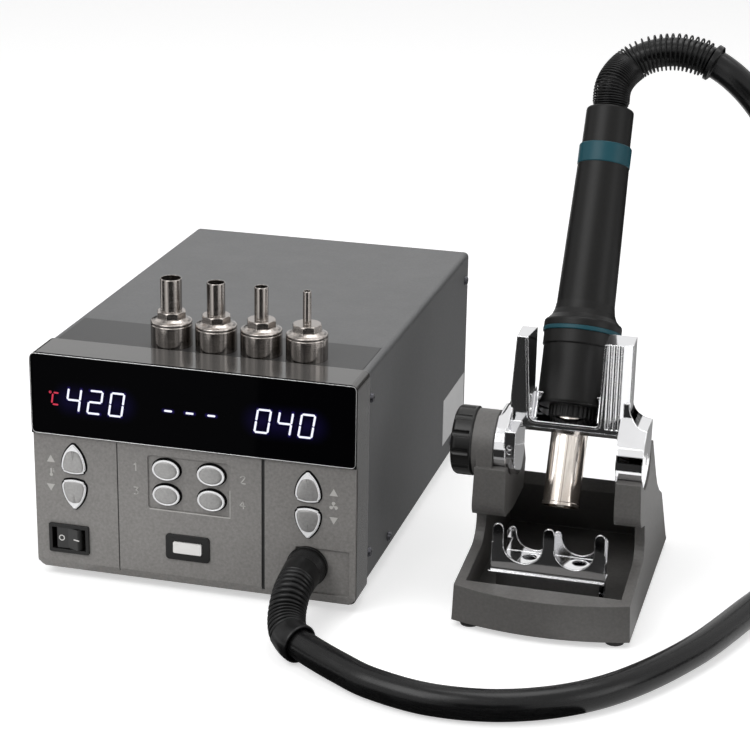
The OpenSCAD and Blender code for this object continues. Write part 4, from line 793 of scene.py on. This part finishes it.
class REWORK_OT_stage(bpy.types.Operator):
    """Pale floor, soft lamps, sky and the camera at the photograph's angle"""
    bl_idname = "rework.stage"
    bl_label = "Stage"

    # The camera, worked out from the case's corners and edges: degrees, millimetres and pixels
    AZIMUTH = -14.804
    ELEVATION = -19.437
    ROLL = 0.976
    CAMERA_AT = (467.51, -1022.87, 515.42)
    FOCAL_PX = 2125.1
    PHOTO_PX = 750.0
    SENSOR_MM = 36.0

    # Each lamp's place, size, and share of the key lamp's power
    LAMPS = {
        "key_lamp": ((-0.75, -1.15, 1.55), 1.3, 1.0),
        "top_lamp": ((0.25, 0.35, 1.9), 1.0, 0.45),
        "side_lamp": ((1.3, -0.4, 0.55), 0.6, 0.12),
    }
    LAMP_AIM = (0, 0, 0.1)
    FLOOR_HALF = 3
    FLOOR_GLOW = 0.53

    # Each card's first and last angle, its inner and outer radius, its height at each, its tone
    CARDS = (
        (-180, 180, 0.0, 0.2, 0.001, 0.001, 0.3), (-32, 22, 0.2, 2.4, 0.001, 0.001, 0.03),
        (-20, 20, 1.6, 1.6, 0.05, 0.75, 0.0), (58, 86, 0.45, 1.9, 0.001, 0.35, 0.0),
        (-92, -66, 0.5, 1.9, 0.001, 0.35, 0.0), (112, 162, 0.2, 0.7, 0.001, 0.001, 0.3),
        (112, 160, 0.7, 1.6, 0.001, 0.5, 0.0), (-160, -112, 0.35, 1.6, 0.001, 0.5, 0.0),
    )
    CARD_STEPS = 24

    def execute(self, context):
        scene, look = context.scene, context.scene.rework_stage
        scene.view_settings.view_transform = "Standard"
        self.floor(look)
        self.sky(scene, look)
        for name, (place, size, share) in self.LAMPS.items():
            self.lamp(name, place, size, look.key_power * share)
        self.dark_cards()
        self.camera(scene)
        return {"FINISHED"}

    def floor(self, look):
        """A flat sheet under the object, whose own light lifts it to white except in shadow."""
        r = self.FLOOR_HALF
        corners = np.array([[-r, -r, 0], [r, -r, 0], [r, r, 0], [-r, r, 0]], float)
        floor = new_object("floor", corners, [[0, 1, 2, 3]])
        material, tree, shader, _ = finish_base("floor_white", look.floor, 0.85,
                                                Specular_IOR_Level=0.1)
        strength = math_node(tree, "MULTIPLY", seen_directly(tree), self.FLOOR_GLOW)
        glow = node(tree, "ShaderNodeEmission", Strength=strength)
        both = node(tree, "ShaderNodeAddShader")
        feed(tree, both.inputs[0], shader.outputs[0])
        feed(tree, both.inputs[1], glow.outputs[0])
        output = next(n for n in tree.nodes if n.type == "OUTPUT_MATERIAL")
        feed(tree, output.inputs["Surface"], both.outputs[0])
        floor.data.materials.append(material)

    def sky(self, scene, look):
        """White to the camera and in reflections, and a plain even light otherwise."""
        world = bpy.data.worlds.new("studio_sky")
        scene.world = world
        world.use_nodes = True
        tree = world.node_tree
        background = tree.nodes["Background"]
        background.inputs["Color"].default_value = (1, 1, 1, 1)
        strength = math_node(tree, "MULTIPLY_ADD", seen_directly(tree), 1.0 - look.sky, look.sky)
        feed(tree, background.inputs["Strength"], strength)

    def lamp(self, name, place, size, power):
        """A square soft lamp aimed at the object's middle."""
        data = bpy.data.lights.new(name, "AREA")
        data.size = size
        data.energy = power
        lamp = bpy.data.objects.new(name, data)
        bpy.context.scene.collection.objects.link(lamp)
        lamp.location = place
        aim = Vector(self.LAMP_AIM) - lamp.location
        lamp.rotation_euler = aim.to_track_quat("-Z", "Y").to_euler()

    def dark_cards(self):
        """Dark cards that only reflections see, laid and stood round the object out of view. A card
        is a sector of a ring, from an angle to another, counted in degrees from the camera's side.
        Its tone is 0 for black and 1 for the sky's white."""
        camera_side = math.radians(-90.0 - self.AZIMUTH)
        count = self.CARD_STEPS + 1
        faces = [[k, k + 1, count + k + 1, count + k] for k in range(self.CARD_STEPS)]
        for number, (start, end, near, far, low, high, tone) in enumerate(self.CARDS, 1):
            a = camera_side + np.radians(np.linspace(start, end, count))
            ring = np.stack([np.cos(a), np.sin(a)], -1)
            points = np.concatenate([np.column_stack([ring * near, np.full(count, low)]),
                                     np.column_stack([ring * far, np.full(count, high)])])
            card = new_object(f"card_{number}", points, faces)
            card.data.materials.append(finish_base(
                f"card_tone_{number}", BLACK, 0.9, Specular_IOR_Level=0.0,
                Emission_Color=(1.0, 1.0, 1.0), Emission_Strength=tone)[0])
            card.visible_camera = card.visible_diffuse = card.visible_shadow = False

    def camera(self, scene):
        """The photograph's viewpoint, from its angles, its place and its focal length."""
        azimuth, elevation, roll = map(math.radians, (self.AZIMUTH, self.ELEVATION, self.ROLL))
        forward = Vector((math.sin(azimuth) * math.cos(elevation),
                          math.cos(azimuth) * math.cos(elevation), math.sin(elevation)))
        right = forward.cross(Vector((0, 0, 1))).normalized()
        up = right.cross(forward)
        right, up = (right * math.cos(roll) + up * math.sin(roll),
                     up * math.cos(roll) - right * math.sin(roll))
        data = bpy.data.cameras.new("photo_camera")
        data.sensor_width = self.SENSOR_MM
        data.lens = self.FOCAL_PX / self.PHOTO_PX * self.SENSOR_MM
        data.clip_start = 0.01
        data.clip_end = 20.0
        camera = bpy.data.objects.new("photo_camera", data)
        scene.collection.objects.link(camera)
        turn = Matrix((right, up, -forward)).transposed().to_4x4()
        camera.matrix_world = Matrix.Translation(Vector(placed(self.CAMERA_AT))) @ turn
        scene.camera = camera


class REWORK_OT_hose(bpy.types.Operator):
    """The air hose in two lengths, with its ribbed sleeve at the case and spring at the handle"""
    bl_idname = "rework.hose"
    bl_label = "Hose"

    # Places along the routes, which count their points
    SPRING_FROM = 1.0607
    SPRING_TO = 6.4
    CLIP_FROM = 6.42
    CLIP_TO = 6.86
    CLIP_HIGH = 2.4
    SLEEVE_FROM = 1.0
    SLEEVE_LONG = 4.6

    def execute(self, context):
        sizes, colours = context.scene.rework_hose, context.scene.rework_colours
        radius, wire_r = sizes.diameter * MM / 2, sizes.wire * MM / 2
        sleeve = self.sleeve(radius, sizes.ribs)
        attach(sleeve, "station", hose_finish("sleeve_satin", colours.hose, 0.32))
        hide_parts("hose_sleeve")
        spring = self.spring(radius, wire_r, sizes.swell * MM)
        attach(spring, "handle",
               painted("spring_black", colours.hose, 0.36, wear=0.0, Specular_IOR_Level=0.22))
        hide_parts("hose_spring")
        skin = hose_finish("hose_satin", colours.hose, 0.24)
        lower = self.tube("hose_lower_tube", LOWER_ROUTE, LOWER_REF, radius, 220)
        upper = self.tube("hose_upper_tube", UPPER_ROUTE, UPPER_REF, radius, 260, self.CLIP_HIGH)
        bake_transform(lower)
        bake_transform(upper)
        for tube, name, route, with_pieces in (
                (lower, "hose_lower", LOWER_ROUTE, [sleeve]),
                (upper, "hose_upper", UPPER_ROUTE, [spring])):
            tube.data.materials.append(skin)
            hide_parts(name)
        return {"FINISHED"}

    def tube(self, name, route, ref, radius, rings, clip=0.0):
        """One length of hose: a circle of one radius along its route, wider over the clip."""
        u = np.unique(np.concatenate([np.linspace(0, len(route) - 1, rings),
                                      np.linspace(self.CLIP_FROM, self.CLIP_TO, 24)]))
        rise = ease((u - self.CLIP_FROM) / 0.1)
        fall = ease((u - self.CLIP_TO + 0.14) / 0.14)
        return swept(name, route, ref, u, radius + clip * rise * (1.0 - fall), sides=32)

    def spring(self, radius, wire_r, swell):
        """The wire's turns: close at the handle, open from a third of the way, closer at the clip,
        and standing off the hose by swell but for the two ends."""
        def pitch(f):
            close = 1.22 * wire_r * 2
            return close + 1.6 * ease((f - 0.34) / 0.2) - 0.8 * ease((f - 0.9) / 0.08)

        def coil_r(f):
            off = swell * ease(f / 0.05) * (1 - ease((f - 0.95) / 0.05))
            return radius + 0.02 + wire_r + off

        return helix_wire("hose_spring_wire", UPPER_ROUTE, UPPER_REF, self.SPRING_FROM,
                          self.SPRING_TO, pitch, coil_r, wire_r)

    def sleeve(self, radius, ribs):
        """The sleeve's radius: a tapering cuff with fine grooves, round ribs that follow
        sqrt|sin|, then a flared plain cuff whose mouth stands off the hose."""
        f = np.linspace(0, 1, 460)
        grooves = 0.3 * np.clip(np.sin(f * 2 * math.pi * 46) - 0.2, 0, 1)
        grooves = grooves * (f > 0.05) * (f < 0.165)
        cuff = radius + 2.95 - 3.0 * f - grooves
        phase = (f - 0.3) / 0.54 * ribs
        rib = radius + 0.2 + 1.9 * np.sqrt(np.abs(np.sin(math.pi * phase)))
        lip = 0.35 * np.clip((f - 0.985) / 0.015, 0, 1) ** 2
        plain = radius + 1.95 + 0.5 * ease((f - 0.86) / 0.12) - lip
        outer = np.where(f < 0.3, cuff, np.where(f > 0.84, plain, rib))
        inner = radius + 0.06 + 1.0 * ease((f - 0.9) / 0.09)
        u = self.SLEEVE_FROM + self.SLEEVE_LONG * f
        return swept("hose_ribbed_sleeve", LOWER_ROUTE, LOWER_REF, np.concatenate([u, u[::-1]]),
                     np.concatenate([outer, inner[::-1]]), sides=48, wrap_rings=True)


class REWORK_OT_case(bpy.types.Operator):
    """Finishes of the case: moulding, panel, cover, film, rear panel, screws and feet"""
    bl_idname = "rework.case"
    bl_label = "Case"

    def execute(self, context):
        colours = context.scene.rework_colours
        give(bezel_finish(colours.panel), "front_bezel")
        give(panel_finish(colours.panel), "front_panel")
        give(painted("case_paint", colours.case, 0.46, grain=1500.0, depth=0.00005, wear=0.3,
                     drift=0.1, dust=0.05, edge=0.0008, fleck=0.25), "top_cover", "rear_panel")
        give(painted("top_film", toned(colours.case, 0.3), 0.34, grain=2600.0, depth=0.000008,
                     wear=0.0, drift=0.05, Specular_IOR_Level=0.25), "top_film")
        give(painted("bare_sticker", (0.72, 0.72, 0.72), 0.4, grain=1900.0, depth=0.00001,
                     wear=0.0, drift=0.12), "side_label")
        give(brushed_metal("zinc_plate", (0.09, 0.09, 0.1), 0.25, (1.0, 1.0, 1.0), scale=300.0),
             "cover_screws")
        give(brushed_metal("tray_plate", (0.5, 0.5, 0.5), 0.4, (0.1, 1.0, 1.0), scale=200.0),
             "chassis_tray")
        give(painted("rubber", (0.013, 0.013, 0.013), 0.7, grain=900.0, depth=0.00006, wear=0.1,
                     dust=0.15), "station_feet", "stand_feet")
        give(painted("black_moulding", colours.plastic, 0.38, grain=2200.0, depth=0.00002,
                     wear=0.35, drift=0.1, Specular_IOR_Level=0.3),
             "mode_key_bezel", "rocker_frame", "hose_port", "mains_inlet", "fuse_holder")
        give(brushed_metal("brass", (0.72, 0.52, 0.22), 0.25, (1.0, 0.05, 1.0), scale=900.0),
             "earth_terminal")
        return {"FINISHED"}


class REWORK_OT_inner(bpy.types.Operator):
    """Finishes of what is inside: boards, heat sink, blower, motor, duct, heater and weight"""
    bl_idname = "rework.inner"
    bl_label = "Inner parts"

    def execute(self, context):
        give(painted("coated_board", (0.02, 0.13, 0.06), 0.3, grain=700.0, depth=0.00003,
                     wear=0.2, drift=0.4), "control_board", "power_board")
        give(painted("blower_black", (0.02, 0.02, 0.021), 0.5, grain=1400.0, depth=0.00004),
             "blower_housing", "blower_impeller", "air_duct")
        give(painted("heater_ceramic", (0.66, 0.62, 0.55), 0.75, grain=500.0, depth=0.00008,
                     wear=0.15), "heater_core")
        give(painted("raw_iron", (0.09, 0.085, 0.08), 0.6, grain=300.0, depth=0.0002, wear=0.4,
                     drift=0.4, metallic=0.7), "base_weight")
        give(painted("digit_modules_black", (0.014, 0.014, 0.015), 0.5, grain=1800.0,
                     depth=0.00002), "digit_modules")
        for name, colour, roughness, stretch, scale, drift, piece in (
                ("fin_aluminium", (0.62, 0.62, 0.64), 0.38, (1.0, 0.06, 1.0), 500.0, 0.1,
                 "heat_sink"),
                ("motor_steel", (0.5, 0.5, 0.51), 0.32, (0.06, 1.0, 1.0), 600.0, 0.1,
                 "blower_motor"),
                ("heater_steel", (0.55, 0.48, 0.4), 0.3, (1.0, 1.0, 0.06), 700.0, 0.3,
                 "heater_sleeve"),
                ("sensor_steel", (0.55, 0.55, 0.55), 0.3, (1.0, 1.0, 0.1), 900.0, 0.1,
                 "sensor_lead")):
            give(brushed_metal(name, colour, roughness, stretch, scale=scale, drift=drift), piece)
        return {"FINISHED"}


class REWORK_OT_display(bpy.types.Operator):
    """The dark window with its lit digits, dashes and degree mark, and the bright bead round it"""
    bl_idname = "rework.display"
    bl_label = "Display"

    DIGITS = {"0": "abcdef", "2": "abged", "4": "fgbc"}
    BARS = {"a": (0, 1, 1, 1), "b": (1, 1, 1, 0.5), "c": (1, 0.5, 1, 0), "d": (0, 0, 1, 0),
            "e": (0, 0, 0, 0.5), "f": (0, 0.5, 0, 1), "g": (0, 0.5, 1, 0.5)}
    BAR_W = 1.12
    SLANT = math.tan(math.radians(8.7))
    LEFT_X = 20.35
    RIGHT_X = 129.95
    HALO_SIDES = 20

    def execute(self, context):
        colours = context.scene.rework_colours
        give(glass_finish(), "display_window")
        strokes = self.number("420", self.LEFT_X, CASE_Z + 96.6, 8.5, 14.4, 12.65)
        strokes += self.number("040", self.RIGHT_X, CASE_Z + 96.7, 8.5, 14.2, 12.4)
        dash_z = CASE_Z + 103.6
        strokes += [(x - 2.5, dash_z, x + 2.5, dash_z) for x in (81.05, 93.5, 106.0)]
        core = plates("lit_digits", [self.bar(s, self.BAR_W) for s in strokes],
                      GLASS_Y - 0.09, 0.07)
        attach(core, "station", lit_finish("lit_white", colours.digits, 1.15))
        attach(self.halo("digit_spill", strokes, 3.4, 0.012), "station",
               glow_finish("spill_violet", (0.02, 0.013, 0.12)))
        row_z = CASE_Z + 103.8
        rows = [(x + 3.0, row_z, x + 33.0, row_z) for x in (self.LEFT_X, self.RIGHT_X)]
        attach(self.halo("display_glow", rows, 24.0, 0.004), "station",
               glow_finish("spill_navy", (0.005, 0.0035, 0.026)))
        mark = plates("lit_degree_mark", self.degree_mark(), GLASS_Y - 0.08, 0.06)
        attach(mark, "station",
               lit_finish("lit_red", (0.62, 0.004, 0.045), 1.0))
        edge = round_rect((0.45, WINDOW_Z0 + 0.35), (CASE_W - 0.45, CASE_TOP - 0.45), 2.6)
        attach(bead("window_edge_bead", edge, -1.3, 0.2), "station",
               brushed_metal("bright_edge", (0.55, 0.55, 0.55), 0.3, (1.0, 1.0, 1.0),
                             scale=300.0))
        return {"FINISHED"}

    def number(self, text, x, z, w, h, pitch, inset=0.55):
        """Strokes of slanted seven-bar digits, as x0, z0, x1, z1, with x moved by z times the
        slant."""
        strokes = []
        for place, digit in enumerate(text):
            left = x + place * pitch
            for bar in self.DIGITS[digit]:
                ends = np.array(self.BARS[bar], float).reshape(2, 2)
                at_x = left + ends[:, 0] * (w - 2 * inset) + inset + ends[:, 1] * h * self.SLANT
                at_z = z + inset + ends[:, 1] * (h - 2 * inset)
                strokes.append((at_x[0], at_z[0], at_x[1], at_z[1]))
        return strokes

    def bar(self, stroke, width):
        """A bar with pointed ends along a stroke."""
        p, q, along, across = stroke_axes(stroke)
        p, q, tip, n = p + along * 0.3, q - along * 0.3, along * width / 2, across * width / 2
        return np.array([p - tip * 0.3, p + tip * 0.5 - n, q - tip * 0.5 - n, q + tip * 0.3,
                         q - tip * 0.5 + n, p + tip * 0.5 + n])

    def halo(self, name, strokes, width, lift):
        """Flat plates wider than the bars, which stand off the glass by lift; the map's first
        number is 0 in the middle and 1 at the rim."""
        points, faces, uv = [], [], []
        count = self.HALO_SIDES
        a = np.linspace(0, 2 * math.pi, count, endpoint=False)
        cos, sin = np.cos(a)[:, None], np.sin(a)[:, None]
        for number, stroke in enumerate(strokes):
            p, q, along, across = stroke_axes(stroke)
            core = np.where(cos > 0, q, p)
            rim = core + width / 2 * (cos * along + sin * across)
            depth = GLASS_Y - lift - 0.0004 * number
            points.append(at_depth(np.concatenate([rim, core]), depth))
            base = number * 2 * count
            for k in range(count):
                m = (k + 1) % count
                faces.append([base + k, base + m, base + count + m, base + count + k])
                uv += [(1, 0), (1, 0), (0, 0), (0, 0)]
        return mesh_piece(name, np.concatenate(points), faces, uv, smooth=False)

    def degree_mark(self):
        """A small ring and the three bars of the letter for degrees."""
        bars = ((13.7, 107.0, 17.1, 107.0), (12.6, 100.6, 13.5, 106.5),
                (12.9, 100.1, 16.7, 100.1))
        ring = ring_outline(0.8, 0.35, 352, 12) + (11.9, CASE_Z + 107.1)
        return [ring] + [self.bar(np.array(s) + (0, CASE_Z, 0, CASE_Z), 0.95) for s in bars]


class REWORK_OT_keys(bpy.types.Operator):
    """Silver keys with their bright rims, the pale mode key and the power rocker with its marks"""
    bl_idname = "rework.keys"
    bl_label = "Keys"

    def execute(self, context):
        plastic = context.scene.rework_colours.plastic
        finishes = (
            key_body_finish(),
            painted("key_bright_rim", (0.95, 0.95, 0.96), 0.2, grain=1400.0, depth=0.00001,
                    wear=0.0, drift=0.04, metallic=0.08, edge=0.0001),
            painted("key_satin_silver", (0.34, 0.335, 0.33), 0.34, grain=1400.0, depth=0.00003,
                    wear=0.0, drift=0.16, metallic=0.3, edge=0.0004, fleck=0.3),
            # Painted shade: black laid in the gap round each key.
            painted("key_gap_painted_shade", (0.006, 0.006, 0.006), 0.6, wear=0.0, edge=0.0001,
                    Specular_IOR_Level=0.1),
        )
        for name, x, up in (("temp_up_key", TEMP_KEY_X, 1), ("temp_down_key", TEMP_KEY_X, -1),
                            ("air_up_key", AIR_KEY_X, 1), ("air_down_key", AIR_KEY_X, -1)):
            self.key(name, finishes, pick_outline(-0.8, x, up), 0.36, self.pick_face(x, up),
                     pick_outline(0.5, x, up), 0.27)
        for number, (x, z) in enumerate(((x, z) for z in OVAL_Z for x in OVAL_X), 1):
            rim = self.oval(-0.5, x, z)
            self.key(f"channel_key_{number}", finishes, rim, 0.4, (rim - (x, z)) * 0.9 + (x, z),
                     self.oval(0.5, x, z), FIELD_DEEP + 0.27)
        give(painted("mode_key_cream", (0.9, 0.89, 0.87), 0.35, grain=1600.0, depth=0.00002,
                     wear=0.0, drift=0.06), "mode_key")
        give(painted("rocker_black", plastic, 0.3, grain=2400.0, depth=0.00001, wear=0.3),
             "power_rocker")
        self.rocker_marks(painted("mark_pale", (0.75, 0.74, 0.72), 0.55, grain=1800.0,
                                  depth=0.00001, wear=0.0, edge=0.00002))
        return {"FINISHED"}

    def key(self, name, finishes, rim, rim_r, face, gap, gap_y):
        """A key's finish, its rim and crowned face, which ride on it, and a black ring of painted
        shade in the gap round it, which stays with the station."""
        body, bright, silver, black = finishes
        give(body, name)
        attach(bead(name + "_rim", rim, KEY_FACE_Y + 0.25, rim_r), name, bright)
        attach(dome(name + "_face", face, KEY_FACE_Y - 0.02, 0.5), name, silver)
        # Painted shade: the black ring in the gap round the key.
        attach(bead(name + "_gap", gap, gap_y, 0.45), "station", black)

    def oval(self, grow, x, z):
        """An oval key's outline, grown all round."""
        a = np.linspace(0, 2 * math.pi, 72, endpoint=False)
        return np.stack([x + (OVAL_W / 2 + grow) * np.cos(a),
                         z + (OVAL_H / 2 + grow) * np.sin(a)], -1)

    def pick_face(self, x, up):
        """A triangular key's outline drawn in, and rounded off short of its tip by a circle's
        arc."""
        outline = pick_outline(-1.05, 0.0, up) - (0, KEY_MID_Z)
        reach, round_z = 15.6, 9.4
        high = outline[:, 1] * up > round_z
        limit = np.sqrt(np.clip((reach - round_z) ** 2 - outline[:, 0] ** 2, 0, None))
        outline[high, 1] = np.minimum(outline[high, 1] * up, round_z + limit[high]) * up
        return outline + (x, KEY_MID_Z)

    def rocker_marks(self, material):
        """The ring and the bar on the rocker, laid on its two sloping faces."""
        dash = np.array([[-1.9, -0.38], [1.9, -0.38], [1.9, 0.38], [-1.9, 0.38]])
        outlines = [ring_outline(1.8, 1.2, 356, 30) + (ROCKER_X - 4.6, ROCKER_Z),
                    dash + (ROCKER_X + 4.8, ROCKER_Z)]
        marks = plates("rocker_marks", outlines, 0.0, 0.05)
        co = np.empty(len(marks.data.vertices) * 3)
        marks.data.vertices.foreach_get("co", co)
        co = co.reshape(-1, 3)
        hill = self.rocker_face()
        co[:, 1] += (np.interp(co[:, 0] * MM + MID_X, hill[:, 0], hill[:, 1]) - 0.04) / MM
        marks.data.vertices.foreach_set("co", co.astype(np.float32).ravel())
        marks.data.update()
        attach(marks, "power_rocker", material)

    def rocker_face(self):
        """Depth of the rocker's face across x, from the source's outline turned by its angle."""
        low = -ROCKER_PIVOT_Y - ROCKER_HALF * math.tan(ROCKER_ANGLE) - 0.8
        outline = np.array([[-ROCKER_HALF - 1, low], [0, -ROCKER_PIVOT_Y - 0.2],
                            [ROCKER_HALF + 1, low]])
        return outline @ turned(-ROCKER_ANGLE).T + (ROCKER_X, ROCKER_PIVOT_Y)


class REWORK_OT_panel_marks(bpy.types.Operator):
    """Printed arrows, plain numbers and small pictures on the front panel, strips of painted
    highlight and plates of painted shade
    """
    bl_idname = "rework.panel_marks"
    bl_label = "Panel marks"

    NUMERALS = {
        "1": [(-0.7, 0.9, 0, 1.6), (0, 1.6, 0, -1.6)],
        "2": [(-0.9, 1.1, -0.3, 1.6), (-0.3, 1.6, 0.5, 1.6), (0.5, 1.6, 0.9, 1.0),
              (0.9, 1.0, -0.9, -1.5), (-0.9, -1.5, 1.0, -1.5)],
        "3": [(-0.8, 1.5, 0.9, 1.5), (0.9, 1.5, 0.0, 0.3), (0.0, 0.3, 0.8, -0.2),
              (0.8, -0.2, 0.8, -1.0), (0.8, -1.0, 0.2, -1.5), (0.2, -1.5, -0.8, -1.4)],
        "4": [(0.45, 1.6, -1.0, -0.5), (-1.0, -0.5, 1.15, -0.5), (0.45, 1.6, 0.45, -1.6)],
    }
    NUMERAL_SCALE = 1.4
    NUMERAL_HALF_W = 0.28
    GROOVE_LOW = 9.0
    GROOVE_HIGH = 86.0

    def execute(self, context):
        pale = painted("pale_print_and_painted_highlight", (0.5, 0.49, 0.47), 0.5, grain=1800.0, depth=0.00001,
                       wear=0.0, drift=0.1, edge=0.00002)
        shapes = []
        for x, z, up in ((10.2, 66.8, 1), (9.7, 49.7, -1), (175.2, 66.5, 1), (175.3, 50.2, -1)):
            arrow = np.array([[-2.4, -1.9 * up], [2.4, -1.9 * up], [0, 2.3 * up]])
            shapes.append(arrow + (x, CASE_Z + z))
        shapes += self.thermometer(10.2, CASE_Z + 58.6) + self.fan(175.2, CASE_Z + 58.6)
        for text, x, z in (("1", 61.0, 68.0), ("2", 123.4, 67.6), ("3", 60.8, 53.7),
                           ("4", 123.0, 52.9)):
            shapes += self.numeral(text, x, CASE_Z + z)
        # Painted highlight: pale strips on the lower and right edges of the recessed key field,
        # where its walls catch the light.
        shapes.append(round_rect((68.6, 49.1), (116.0, 49.75), 0.3, 3))
        shapes.append(round_rect((115.7, 49.1), (116.1, 66.0), 0.2, 3))
        attach(plates("panel_print_and_painted_highlight", shapes, -0.04, 0.06), "station", pale)
        # Painted shade: black plates laid on the floors of the two grooves, which are dark in
        # shade.
        shade = painted("groove_painted_shade", (0.012, 0.012, 0.012), 0.6, wear=0.0)
        for name, x, half, y, thick in (("wide_groove_painted_shade", 135.0, 0.88, 0.6, 0.4),
                                        ("thin_groove_painted_shade", 50.0, 0.25, 0.3, 0.15)):
            floor = round_rect((x - half, self.GROOVE_LOW), (x + half, self.GROOVE_HIGH), 0.2, 2)
            attach(plates(name, [floor], y, thick), "station", shade)
        return {"FINISHED"}

    def thermometer(self, x, z):
        """A tube with a round bulb and three ticks."""
        tube = round_rect((-0.45, -0.6), (0.45, 2.6), 0.44, 6)
        bulb = arc((0, -1.3), 0.95, 0, 345, 20)
        tick = np.array([[1.0, 0.0], [1.9, 0.0], [1.9, 0.3], [1.0, 0.3]])
        ticks = [tick + (0, t) for t in (0.2, 1.1, 2.0)]
        return [s + (x, z) for s in [tube, bulb] + ticks]

    def fan(self, x, z):
        """Three curved blades round a hub."""
        blade = np.concatenate([arc((1.55, 0), 1.05, -80, 150, 14),
                                arc((0.9, 0.15), 0.5, 150, 230, 5)])
        blades = [blade @ turned(math.radians(a)).T for a in (90, 210, 330)]
        return [s + (x, z) for s in blades + [arc((0, 0), 0.5, 0, 340, 16)]]

    def numeral(self, text, x, z):
        """A plain numeral from straight strokes of one width."""
        shapes = []
        for stroke in self.NUMERALS[text]:
            p, q, along, across = stroke_axes(np.array(stroke) * self.NUMERAL_SCALE)
            n = across * self.NUMERAL_HALF_W
            p, q = p - along * 0.2, q + along * 0.2
            shapes.append(np.array([p - n, q - n, q + n, p + n]) + (x, z))
        return shapes


class REWORK_OT_nozzles(bpy.types.Operator):
    """Turned stainless nozzles"""
    bl_idname = "rework.nozzles"
    bl_label = "Nozzles"

    def execute(self, context):
        give(turned_steel(context.scene.rework_colours.stainless),
             "nozzle_large", "nozzle_medium", "nozzle_small", "nozzle_fine")
        return {"FINISHED"}


class REWORK_OT_stand(bpy.types.Operator):
    """The cast stand, its nozzle rack, chrome cradle, knob, bolt and pin"""
    bl_idname = "rework.stand"
    bl_label = "Stand"

    def execute(self, context):
        colours = context.scene.rework_colours
        give(painted("stand_paint", colours.stand, 0.5, grain=1200.0, depth=0.00007, wear=0.4,
                     drift=0.1, dust=0.05, edge=0.0009, fleck=0.35), "stand_base")
        give(brushed_metal("chrome_plate", colours.chrome, 0.07, (1.0, 1.0, 1.0), scale=60.0,
                           depth=0.000004, drift=0.03, edge=0.0008), "cradle", "nozzle_rack")
        give(painted("knob_black", colours.plastic, 0.34, grain=1600.0, depth=0.00003, wear=0.5,
                     dust=0.03, Specular_IOR_Level=0.32), "tilt_knob")
        give(brushed_metal("bolt_plate", (0.55, 0.55, 0.56), 0.3, (0.1, 1.0, 1.0)),
             "clamp_bolt", "pivot_pin")
        return {"FINISHED"}


class REWORK_OT_handle(bpy.types.Operator):
    """The handle's barrel, grip, bands, collar and heat tube"""
    bl_idname = "rework.handle"
    bl_label = "Handle"

    def execute(self, context):
        colours = context.scene.rework_colours
        give(painted("handle_black", colours.plastic, 0.42, grain=1500.0, depth=0.00003,
                     wear=0.3, dust=0.01, Specular_IOR_Level=0.2, fleck=0.5),
             "handle_barrel", "handle_grip", "tail_collar")
        give(painted("band_teal", colours.band, 0.42, grain=1800.0, depth=0.00002, wear=0.1,
                     drift=0.1, Specular_IOR_Level=0.25), "flange_ring", "grip_band")
        give(heat_tube_finish(colours.tube), "heat_tube")
        return {"FINISHED"}


STEPS = (
    REWORK_OT_stage, REWORK_OT_hose, REWORK_OT_case, REWORK_OT_inner, REWORK_OT_display,
    REWORK_OT_keys, REWORK_OT_panel_marks, REWORK_OT_nozzles, REWORK_OT_stand, REWORK_OT_handle,
)


class REWORK_PT_panel(bpy.types.Panel):
    """Sidebar list of the steps and their values"""
    bl_idname = "REWORK_PT_panel"
    bl_label = "Rework station"
    bl_space_type = "VIEW_3D"
    bl_region_type = "UI"
    bl_category = "Rework Station"

    def draw(self, context):
        layout, scene = self.layout, context.scene
        for group in (scene.rework_colours, scene.rework_hose, scene.rework_stage):
            box = layout.box()
            for key in group.__annotations__:
                box.prop(group, key)
        for step in STEPS:
            layout.operator(step.bl_idname)


CLASSES = (ReworkColours, ReworkHose, ReworkStage) + STEPS + (REWORK_PT_panel,)


def register():
    """Registers the classes and hangs their values on the scene."""
    for cls in CLASSES:
        bpy.utils.register_class(cls)
    bpy.types.Scene.rework_colours = bpy.props.PointerProperty(type=ReworkColours)
    bpy.types.Scene.rework_hose = bpy.props.PointerProperty(type=ReworkHose)
    bpy.types.Scene.rework_stage = bpy.props.PointerProperty(type=ReworkStage)


def unregister():
    """Takes the values and the classes away again."""
    del bpy.types.Scene.rework_stage, bpy.types.Scene.rework_hose, bpy.types.Scene.rework_colours
    for cls in reversed(CLASSES):
        bpy.utils.unregister_class(cls)


def main():
    register()
    for step in STEPS:
        group, name = step.bl_idname.split(".")
        getattr(getattr(bpy.ops, group), name)()


if __name__ == "__main__":
    main()
